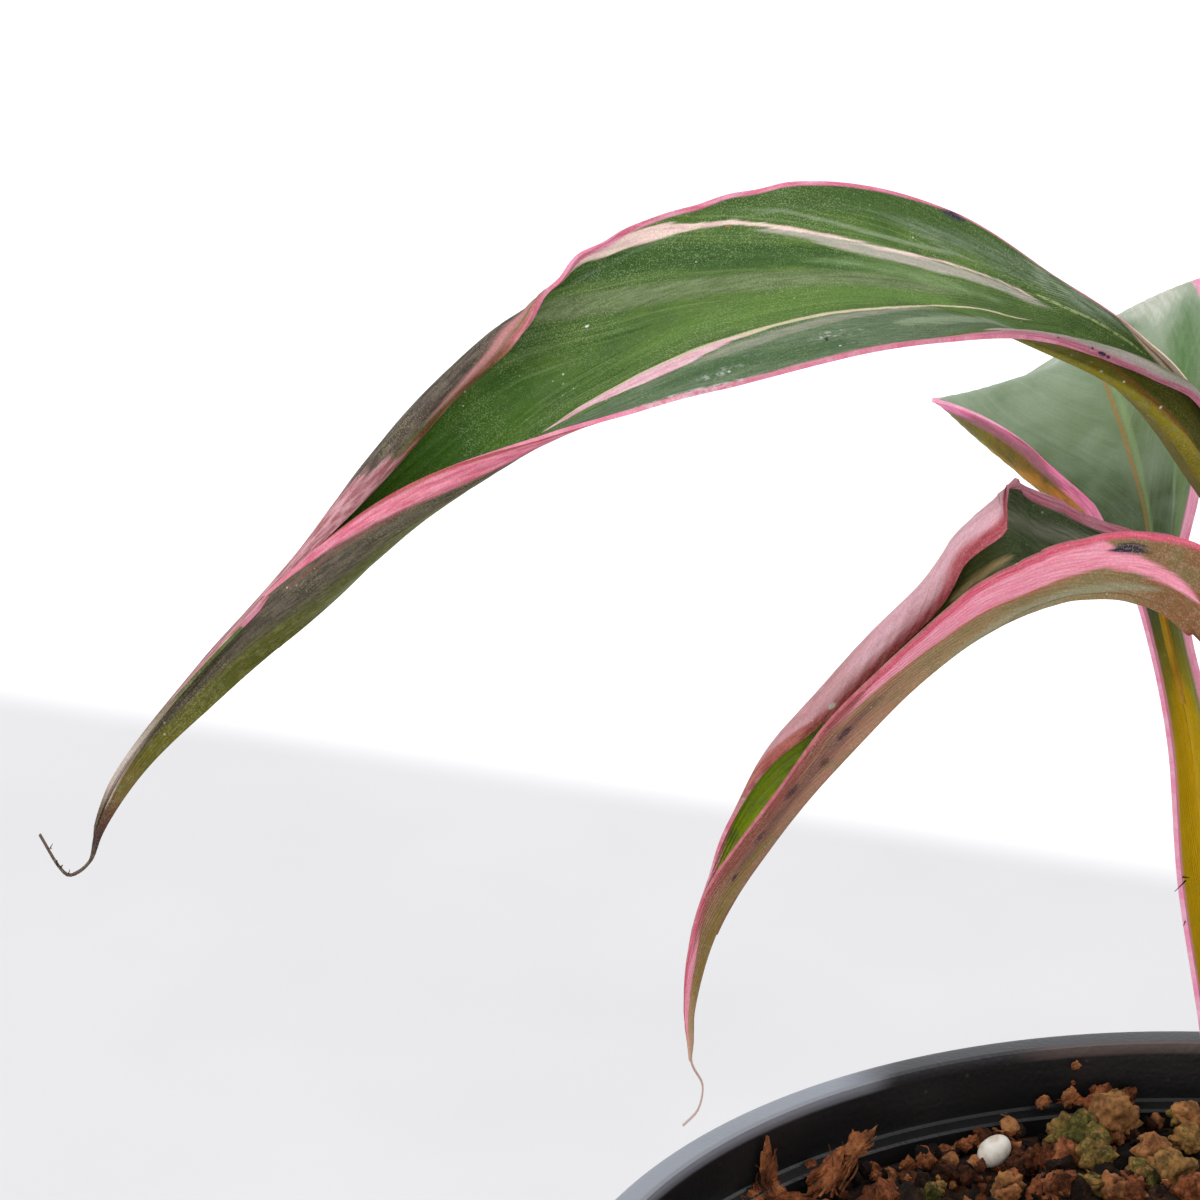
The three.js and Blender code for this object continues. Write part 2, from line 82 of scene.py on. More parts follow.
def seePoint(column, row, height=0):
    # the point at a height that shows at a pixel of the picture
    eye, forward, right, up = cameraAxes()
    side = cameraPlace["pictureSide"]
    scale = cameraPlace["sensor"] / cameraPlace["lens"] / side
    ray = forward + right * ((column - side / 2) * scale) + up * ((side / 2 - row) * scale)
    return eye + ray * ((height - eye.z) / ray.z)


makeCamera()
print("camera made")


def deselectAll():
    if bpy.context.object and bpy.context.object.mode != "OBJECT":
        bpy.ops.object.mode_set(mode="OBJECT")
    bpy.ops.object.select_all(action="DESELECT")


def namePiece(name):
    piece = bpy.context.object
    piece.name = name
    piece.data.name = name
    return piece


def choose(*pieces):
    deselectAll()
    for piece in pieces:
        piece.select_set(True)
    bpy.context.view_layer.objects.active = pieces[0]


def editAll(piece):
    # edit mode with the whole mesh selected
    choose(piece)
    bpy.ops.object.mode_set(mode="EDIT")
    bpy.ops.mesh.select_all(action="SELECT")


def closeEdit():
    bpy.ops.mesh.select_all(action="SELECT")
    bpy.ops.mesh.normals_make_consistent(inside=False)
    bpy.ops.object.mode_set(mode="OBJECT")


def drawOut(move, grown, centre):
    # the selected face or edge moves on and is scaled about a centre
    bpy.ops.mesh.extrude_region_move(TRANSFORM_OT_translate={"value": move})
    bpy.ops.transform.resize(value=grown, center_override=centre)


def applyModifiers(piece):
    choose(piece)
    for modifier in list(piece.modifiers):
        bpy.ops.object.modifier_apply(modifier=modifier.name)


def applyPlace(piece):
    choose(piece)
    bpy.ops.object.transform_apply(location=True, rotation=True, scale=True)


def readPoints(piece):
    points = np.empty(len(piece.data.vertices) * 3)
    piece.data.vertices.foreach_get("co", points)
    return points.reshape(-1, 3)


def writePoints(piece, points):
    piece.data.vertices.foreach_set("co", points.astype(np.float32).ravel())
    piece.data.update()


def addMeasure(piece, title, values):
    attribute = piece.data.attributes.new(title, "FLOAT", "POINT")
    attribute.data.foreach_set("value", values.astype(np.float32))


def wear(piece, *materials):
    piece.data.materials.clear()
    for material in materials:
        piece.data.materials.append(material)


def finishPiece(piece, degrees, *materials):
    # materials, modifiers, then smooth shading up to an angle
    wear(piece, *materials)
    applyModifiers(piece)
    bpy.ops.object.shade_smooth_by_angle(angle=math.radians(degrees))
    return piece


def joinPieces(pieces, name):
    choose(*pieces)
    bpy.ops.object.join()
    return namePiece(name)


def dress(piece, node=None):
    # the piece rides on the only body and may stand for a CAD node
    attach(piece, "root")
    if node:
        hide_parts(node)
    print(piece.name, "made:", len(piece.data.polygons), "faces")


def tint(red, green, blue):
    # screen colour 0-255 to the linear values that sockets take
    share = np.array([red, green, blue]) / 255
    linear = np.where(share <= 0.04045, share / 12.92, ((share + 0.055) / 1.055) ** 2.4)
    return (*[float(x) for x in linear], 1.0)


class Wire:
    # a node's output that counts as a number: sums of wires make Math nodes
    def __init__(self, socket):
        self.socket = socket
        self.tree = socket.id_data

    def calc(self, operation, *others, clamp=False):
        node = put(self.tree, "Math", operation=operation, use_clamp=clamp)
        for socket, value in zip(node.inputs, (self, *others)):
            feed(socket, value)
        return Wire(node.outputs[0])

    def timesPlus(self, factor, addend):
        return self.calc("MULTIPLY_ADD", factor, addend)

    def __add__(self, other):
        return self.calc("ADD", other)

    def __sub__(self, other):
        return self.calc("SUBTRACT", other)

    def __mul__(self, other):
        return self.calc("MULTIPLY", other)

    def __truediv__(self, other):
        return self.calc("DIVIDE", other)

    def __abs__(self):
        return self.calc("ABSOLUTE")


def put(tree, kind, **settings):
    node = tree.nodes.new("ShaderNode" + kind)
    for key, value in settings.items():
        setattr(node, key, value)
    return node


def feed(socket, value):
    # wires are linked, numbers and colours go straight into the socket
    if isinstance(value, Wire):
        value.tree.links.new(value.socket, socket)
    elif socket.type == "RGBA":
        socket.default_value = tint(*value)
    else:
        socket.default_value = value


def treeOf(*values):
    return next(value.tree for value in values if isinstance(value, Wire))


def split(wire, kind="SeparateXYZ"):
    node = put(wire.tree, kind)
    feed(node.inputs[0], wire)
    return [Wire(socket) for socket in node.outputs]


def combine(x, y, z=0.0):
    node = put(x.tree, "CombineXYZ")
    for socket, value in zip(node.inputs, (x, y, z)):
        feed(socket, value)
    return Wire(node.outputs[0])


def blend(share, a, b, mode="MIX"):
    node = put(treeOf(share, a, b), "Mix", data_type="RGBA", blend_type=mode)
    for index, value in ((0, share), (6, a), (7, b)):
        feed(node.inputs[index], value)
    return Wire(node.outputs[2])


def shaded(colour, shade):
    return blend(1.0, colour, combine(shade, shade, shade), "MULTIPLY")


def remap(value, low, high, start=0.0, end=1.0):
    node = put(value.tree, "MapRange", interpolation_type="SMOOTHSTEP")
    for socket, number in zip(node.inputs, (value, low, high, start, end)):
        feed(socket, number)
    return Wire(node.outputs[0])


def curve(value, points):
    # smooth curve through (position, height) points, both in the table's own units
    low, high = points[0][0], points[-1][0]
    top = max(abs(y) for _, y in points) or 1.0
    node = put(value.tree, "FloatCurve")
    feed(node.inputs["Value"], (value - low).calc("DIVIDE", high - low, clamp=True))
    line = node.mapping.curves[0]
    line.points[0].location = (0, points[0][1] / top)
    line.points[1].location = (1, points[-1][1] / top)
    for x, y in points[1:-1]:
        line.points.new((x - low) / (high - low), y / top)
    for point in line.points:
        point.handle_type = "AUTO_CLAMPED"
    node.mapping.use_clip = False
    node.mapping.update()
    return Wire(node.outputs[0]) * top


def ramp(value, stops):
    node = put(value.tree, "ValToRGB")
    feed(node.inputs[0], value)
    elements = node.color_ramp.elements
    for index in (0, -1):
        position, *colour = stops[index]
        elements[index].position = position
        elements[index].color = tint(*colour)
    for position, *colour in stops[1:-1]:
        elements.new(position).color = tint(*colour)
    return Wire(node.outputs[0])


def grain(vector, scale, detail=2.0, roughness=0.5):
    node = put(vector.tree, "TexNoise")
    for name, value in (("Vector", vector), ("Scale", scale), ("Detail", detail), ("Roughness", roughness)):
        feed(node.inputs[name], value)
    return Wire(node.outputs["Fac"])


def newGroup(name, results, **inputs):
    # an input is a number with a default, or a vector where that is None
    tree = bpy.data.node_groups.new(name, "ShaderNodeTree")
    for title, value in inputs.items():
        kind = "NodeSocketVector" if value is None else "NodeSocketFloat"
        socket = tree.interface.new_socket(name=title, in_out="INPUT", socket_type=kind)
        if value is not None:
            socket.default_value = value
    for title in results:
        tree.interface.new_socket(name=title, in_out="OUTPUT", socket_type="NodeSocketFloat")
    given = tree.nodes.new("NodeGroupInput").outputs
    wires = SimpleNamespace(**{title.lower(): Wire(given[title]) for title in inputs})
    return tree, wires, tree.nodes.new("NodeGroupOutput").inputs


def useGroup(group, **values):
    node = treeOf(*values.values()).nodes.new("ShaderNodeGroup")
    node.node_tree = group
    for name, value in values.items():
        feed(node.inputs[name], value)
    return [Wire(socket) for socket in node.outputs]


def newMaterial(name, roughness, specular=0.5):
    material = bpy.data.materials.new(name)
    material.use_nodes = True
    tree = material.node_tree
    shader = tree.nodes["Principled BSDF"]
    shader.inputs["Roughness"].default_value = roughness
    shader.inputs["Specular IOR Level"].default_value = specular
    return material, tree, shader.inputs


def objectPlace(tree):
    # object coordinates in millimetres
    node = put(tree, "VectorMath", operation="SCALE")
    feed(node.inputs[0], Wire(put(tree, "TexCoord").outputs["Object"]))
    node.inputs["Scale"].default_value = 1 / mm
    return Wire(node.outputs[0])


def addBump(shader, height, distance):
    node = put(height.tree, "Bump")
    node.inputs["Distance"].default_value = distance * mm
    feed(node.inputs["Height"], height)
    feed(shader["Normal"], Wire(node.outputs[0]))


# Effects shared by the materials
def makeStreakGroup():
    # fine and bold lines that follow the veins
    tree, given, out = newGroup("veinStreaks", ("Fine", "Bold", "Ridge"), Phase=0, Arc=0, Lines=6)
    count = given.phase * given.lines
    along = given.arc * 0.05
    sway = grain(combine(count * 0.6, along), 1.0, 1.0)
    count = sway.timesPlus(0.7, count)
    broad = grain(combine(count * 1.1, along, 4), 1.0)
    thin = grain(combine(count * 4.0, given.arc * 0.16, 9), 1.0, 3.0, 0.6)
    feed(out["Fine"], remap(thin, 0.38, 0.68).timesPlus(0.55, remap(broad, 0.35, 0.7) * 0.45))
    offset = abs(count.calc("FRACT") - 0.5)
    feed(out["Bold"], remap(offset, 0.13, 0.0) * remap(broad, 0.35, 0.62))
    feed(out["Ridge"], remap(offset, 0.5, 0.05).timesPlus(0.6, thin * 0.5))
    return tree


def makeStripeGroup():
    # soft-edged band round a centre line, its edge frayed a little
    tree, given, out = newGroup("frayedStripe", ("Mask",), Across=0, Centre=0.5, Half=0.05, Soft=0.02,
                                Fray=0, Grain=0.5)
    distance = (given.grain - 0.5).timesPlus(given.fray, abs(given.across - given.centre))
    feed(out["Mask"], remap(distance, given.half + given.soft, given.half - given.soft))
    return tree


def makeBlotchGroup():
    tree, given, out = newGroup("blotches", ("Mask",), Place=None, Scale=1, Level=0.55, Soft=0.05, Detail=3)
    spots = grain(given.place, given.scale, given.detail, 0.6)
    feed(out["Mask"], remap(spots, given.level - given.soft, given.level + given.soft))
    return tree


def makeFleckGroup():
    # scattered small dust and scale marks
    tree, given, out = newGroup("flecks", ("Mask",), Place=None, Scale=1, Size=0.1)
    cells = put(tree, "TexVoronoi")
    feed(cells.inputs["Vector"], given.place)
    feed(cells.inputs["Scale"], given.scale)
    chance = split(Wire(cells.outputs["Color"]), "SeparateColor")[0]
    size = given.size * chance.calc("POWER", 3.0)
    feed(out["Mask"], remap(Wire(cells.outputs["Distance"]), size, size * 0.6))
    return tree


streakGroup = makeStreakGroup()
stripeGroup = makeStripeGroup()
blotchGroup = makeBlotchGroup()
fleckGroup = makeFleckGroup()


def blotches(spot, scale, level, soft=0.05, detail=3.0):
    return useGroup(blotchGroup, Place=spot, Scale=scale, Level=level, Soft=soft, Detail=detail)[0]


def flecks(spot, scale, size):
    return useGroup(fleckGroup, Place=spot, Scale=scale, Size=size)[0]


# Leaf shapes: a midrib spline carries a folded and curled cross-section.
# A station is x, y, z and turn, then width, fold, curl and lip of the left half and of the right,
# or of one half where both are alike.
bladeShape = {
    "half": 30,
    "samples": 6,
    "petioleStep": 1.6,
    "lipStart": 0.55,
    "lift": 0.2,
    "pleat": 0.03,
    "veinReach": 0.42,
    "veinGap": 6,
    "thickness": 0.65,
    "thinnest": 0.46,
    "smooth": 70,
}


def splineRows(rows, t):
    rows = np.array(rows, float)
    last = len(rows) - 1
    at = np.clip(t, 0, last - 1e-9)
    i = np.floor(at).astype(int)
    f = (at - i)[:, None]
    p1 = rows[i]
    p2 = rows[i + 1]
    p0 = np.where(i[:, None] > 0, rows[np.maximum(i - 1, 0)], 2 * p1 - p2)
    p3 = np.where(i[:, None] + 2 <= last, rows[np.minimum(i + 2, last)], 2 * p2 - p1)
    return 0.5 * (2 * p1 + (p2 - p0) * f + (2 * p0 - 5 * p1 + 4 * p2 - p3) * f * f
                  + (3 * p1 - p0 - 3 * p2 + p3) * f * f * f)


def smoothStep(x):
    c = np.clip(x, 0, 1)
    return c * c * (3 - 2 * c)


def unit(vectors):
    return vectors / np.linalg.norm(vectors, axis=-1, keepdims=True)


def fullRows(leaf):
    return [row if len(row) == 12 else (*row, *row[4:]) for row in leaf["stations"]]


def leafPositions(rows, leaf):
    last = len(rows) - 1
    positions = []
    for i in range(last):
        a, b = splineRows(rows, np.array([i, i + 1.0]))[:, :3]
        step = bladeShape["petioleStep"] if i < leaf["petiole"] else leaf["step"]
        steps = max(2, round(np.linalg.norm(b - a) / step))
        positions += [i + k / steps for k in range(steps)]
    return np.array(positions + [last])


def leafSections(rows, leaf, t):
    # centre line, points, normals and the halves' widths at the positions t
    last = len(rows) - 1
    values = splineRows(rows, t)
    centre = values[:, :3]
    ahead = splineRows(rows, np.minimum(t + 0.001, last))[:, :3]
    behind = splineRows(rows, np.maximum(t - 0.001, 0))[:, :3]
    along = unit(ahead - behind)
    heading = math.radians(leaf["heading"])
    across = np.array([math.sin(heading), -math.cos(heading), 0])
    side = unit(across - along * (along @ across)[:, None])
    up = np.cross(side, along)
    turn = np.radians(values[:, 3])[:, None]
    s = side * np.cos(turn) + up * np.sin(turn)
    n = up * np.cos(turn) - side * np.sin(turn)
    samples = bladeShape["samples"]
    fine = samples * bladeShape["half"]
    u = (np.arange(fine) + 0.5) / fine
    pick = np.arange(1, bladeShape["half"] + 1) * samples - 1
    lipStart = bladeShape["lipStart"]
    thin = np.interp(t, *leaf["thin"])
    halves = []
    for sign, first in ((-1, 4), (1, 8)):
        width = np.maximum(values[:, first], 0.05) * thin
        fold, curl, lip = (values[:, first + k][:, None] for k in (1, 2, 3))
        angle = np.radians(fold + curl * u + lip * smoothStep((u - lipStart) / (1 - lipStart)))
        out = np.cumsum(np.cos(angle), 1) * width[:, None] / fine
        rise = np.cumsum(np.sin(angle), 1) * width[:, None] / fine
        angle, out, rise = (part[:, pick][..., None] for part in (angle, out, rise))
        points = centre[:, None] + sign * out * s[:, None] + rise * n[:, None]
        normals = n[:, None] * np.cos(angle) - sign * s[:, None] * np.sin(angle)
        halves.append((points, normals, width))
    (lp, ln, lw), (rp, rn, rw) = halves
    points = np.concatenate([lp[:, ::-1], centre[:, None], rp], 1)
    normals = np.concatenate([ln[:, ::-1], n[:, None], rn], 1)
    return centre, points, normals, lw, rw


def veinPhase(leaf, arc, across):
    # across runs 0 at the left margin, 0.5 on the midrib, 1 at the right margin
    if "veins" in leaf:
        phase = np.zeros_like(across)
        for sign, offset, spread in leaf["veins"]:
            start = np.interp(arc, *zip(*offset)) if offset else 0 * arc
            outward = sign * (across - 0.5)
            value = (outward - start) / np.interp(arc, *zip(*spread)) + 11 * (sign + 1)
            phase = np.where(outward >= 0, value, phase)
        return phase
    reach = leaf["length"] * bladeShape["veinReach"]
    share = np.abs(across - 0.5) * 2
    launch = arc - reach * share ** 1.4 * (1 - 0.5 * arc / leaf["length"])
    return launch / bladeShape["veinGap"] + np.where(across > 0.5, 31, 0)


def makeSheet(name, points, arcs, across, measures):
    # a grid laid over rows of points, with its map and measures
    # the row and the column of each vertex come back with it
    rows, columns = points.shape[0] - 1, points.shape[1] - 1
    deselectAll()
    bpy.ops.mesh.primitive_grid_add(x_subdivisions=columns, y_subdivisions=rows, size=2, calc_uvs=True)
    piece = namePiece(name)
    co = readPoints(piece)
    column = np.rint((co[:, 0] + 1) / 2 * columns).astype(int)
    row = np.rint((co[:, 1] + 1) / 2 * rows).astype(int)
    writePoints(piece, points[row, column] * mm)
    for title, values in measures.items():
        addMeasure(piece, title, values[row, column])
    corners = np.empty(len(piece.data.loops), int)
    piece.data.loops.foreach_get("vertex_index", corners)
    layer = piece.data.uv_layers[0]
    layer.name = "leafMap"
    flat = np.stack([arcs[row, column][corners] / 100, across[row, column][corners]], 1)
    layer.data.foreach_set("uv", flat.astype(np.float32).ravel())
    return piece, row, column


def thicken(piece, thickness):
    shell = piece.modifiers.new("thickness", "SOLIDIFY")
    shell.thickness = thickness * mm
    shell.offset = -1
    return shell


def makeLeafBlade(name, leaf, topMaterial, underMaterial):
    half = bladeShape["half"]
    stations = fullRows(leaf)
    t = leafPositions(stations, leaf)
    centre, points, normals, lw, rw = leafSections(stations, leaf, t)
    steps = np.linalg.norm(np.diff(centre, axis=0), axis=1)
    arc = np.concatenate([[0], np.cumsum(steps)])
    arc -= np.interp(leaf["petiole"], t, arc)
    u = (np.arange(2 * half + 1) - half)[None] / half
    width = np.where(u < 0, lw[:, None], rw[:, None])
    narrow = np.minimum(lw, rw)[:, None]
    edge = (1 - np.abs(u)) * width
    middle = u * width
    across = np.broadcast_to((u + 1) / 2, width.shape)
    arcs = np.broadcast_to(arc[:, None], width.shape)
    phase = veinPhase(leaf, arcs, across)
    fade = np.clip(edge / 1.2, 0, 1) * np.abs(u) ** 0.5 * np.clip(narrow / 4, 0, 1)
    pleat = leaf.get("pleat", bladeShape["pleat"]) * np.sin(phase * fullTurn * leaf["lines"]) * fade
    wave = leaf["waves"](arcs, u, width) if "waves" in leaf else 0
    top = points + normals * (bladeShape["lift"] + pleat + wave)[..., None]
    measures = {"edgeDistance": edge, "midDistance": middle, "veinPhase": phase}
    piece, row, column = makeSheet(name, top, arcs, across, measures)

    # full thickness on the keel and the stalk, thinner toward the margins
    keel = np.exp(-(middle / 0.55) ** 2) * np.clip((lw + rw)[:, None] / 6, 0.2, 1)
    stalk = np.clip(1 - (arcs + 12) / 20, 0, 1) * np.clip(1.25 - np.abs(u), 0, 1)
    thinnest = bladeShape["thinnest"]
    weight = np.clip(thinnest + (1 - thinnest) * np.maximum(keel, stalk), 0, 1)
    weight = weight * np.clip(narrow / 0.5, 0.35, 1)
    group = piece.vertex_groups.new(name="thickness")
    for index, value in enumerate(weight[row, column]):
        group.add([index], float(value), "REPLACE")
    shell = thicken(piece, bladeShape["thickness"])
    shell.vertex_group = "thickness"
    shell.use_rim = True
    shell.material_offset = 1
    return finishPiece(piece, bladeShape["smooth"], topMaterial, underMaterial)


# One recipe for both faces of every leaf: a body colour along the leaf, bands, veins, marks and dust
def readLeafSpot(tree):
    length, across, _ = split(Wire(put(tree, "UVMap", uv_map="leafMap").outputs[0]))
    spot = SimpleNamespace(arc=length * 100, across=across, place=objectPlace(tree))
    for key, title in (("edge", "edgeDistance"), ("middle", "midDistance"), ("phase", "veinPhase")):
        setattr(spot, key, Wire(put(tree, "Attribute", attribute_name=title).outputs["Fac"]))
    spot.middle = abs(spot.middle)
    spot.grain = grain(combine(spot.arc * 0.22, across * 42), 1.0, 3.0, 0.65)
    return spot


def paintBand(base, spot, points, colour, second=None, soft=0.008, fray=0.02, share=None, breaks=None,
              axis="across"):
    # a band given by points of arc, centre and half width
    centre = curve(spot.arc, [(arc, middle) for arc, middle, _ in points])
    half = curve(spot.arc, [(arc, reach) for arc, _, reach in points])
    mask, = useGroup(stripeGroup, Across=getattr(spot, axis), Centre=centre, Half=half, Soft=soft,
                     Fray=fray, Grain=spot.grain)
    if share:
        mask = mask * share
    if breaks:
        scale, level = breaks
        mask = mask * blotches(spot.place, scale, level, 0.12)
    if second:
        streaked = grain(combine(spot.arc * 0.5, spot.across * 60, 5), 1.0, 3.0, 0.6)
        colour = blend(remap(streaked, 0.35, 0.65), colour, second)
    return blend(mask, base, colour)


def paintMark(base, spot, arc, across, arcReach, acrossReach, colour):
    # a small soft-edged spot
    x = (spot.arc - arc) / arcReach
    y = (spot.across - across) / acrossReach
    distance = (spot.grain - 0.5).timesPlus(1.6, (x * x + y * y).calc("SQRT"))
    return blend(remap(distance, 1.2, 0.5), base, colour)


def leafMaterial(name, look):
    material, tree, shader = newMaterial(name, look["roughness"], 0.13)
    spot = readLeafSpot(tree)
    low, high = look["body"][0][0], look["body"][-1][0]
    along = (spot.arc - low).calc("DIVIDE", high - low, clamp=True)
    colour = ramp(along, [((arc - low) / (high - low), *shade) for arc, *shade in look["body"]])
    tip = look.get("tip", 900)
    beforeTip = remap(spot.arc, tip, tip - 5)
    onBlade = remap(spot.arc, -8, 3) * beforeTip
    for scale, level, soft, share, shade in look["mottles"]:
        colour = blend(blotches(spot.place, scale, level, soft) * onBlade * share, colour, shade)
    fine, bold, ridge = useGroup(streakGroup, Phase=spot.phase, Arc=spot.arc, Lines=look["lines"])
    offRib = remap(spot.middle, 0.3, 0.75)  # the halves' lines don't meet on the midrib
    fine = (fine - 0.5) * offRib + 0.5
    colour = blend(fine * beforeTip * look["fine"], colour, look["veinColour"])
    colour = blend(bold * offRib * look["bold"], colour, look["lineColour"])
    for band in look["bands"]:
        colour = paintBand(colour, spot, **band)
    for mark in look.get("marks", ()):
        colour = paintMark(colour, spot, *mark)
    scale, level, share, shade = look["speckle"]
    clouds = blotches(spot.place, 0.2, 0.5, 0.14).timesPlus(0.7, 0.3)
    colour = blend(blotches(spot.place, scale, level, 0.06, 1.0) * clouds * share, colour, shade)
    pepper = grain(spot.place, 6.0, 3.0, 0.75)
    shade = fine.timesPlus(look["shading"], 1 - look["shading"] * 0.5)
    colour = shaded(colour, (pepper - 0.5).timesPlus(look["pepper"], shade))
    scale, size, share = look["dust"]
    dust = flecks(spot.place, scale, size) * blotches(spot.place, 0.22, 0.52, 0.12)
    feed(shader["Base Color"], blend(dust * share, colour, (232, 234, 222)))
    feed(shader["Roughness"], (spot.grain - 0.5).timesPlus(0.25, look["roughness"]))
    addBump(shader, pepper.timesPlus(0.25, ridge * offRib), look["bump"])
    return material


# Looks of the faces. A body stop is an arc and a colour, a mottle is scale, level, softness, share and
# colour, a point of a band is arc, centre and half width, and a mark is arc, centre, two reaches and colour.
violet = (58, 48, 70)

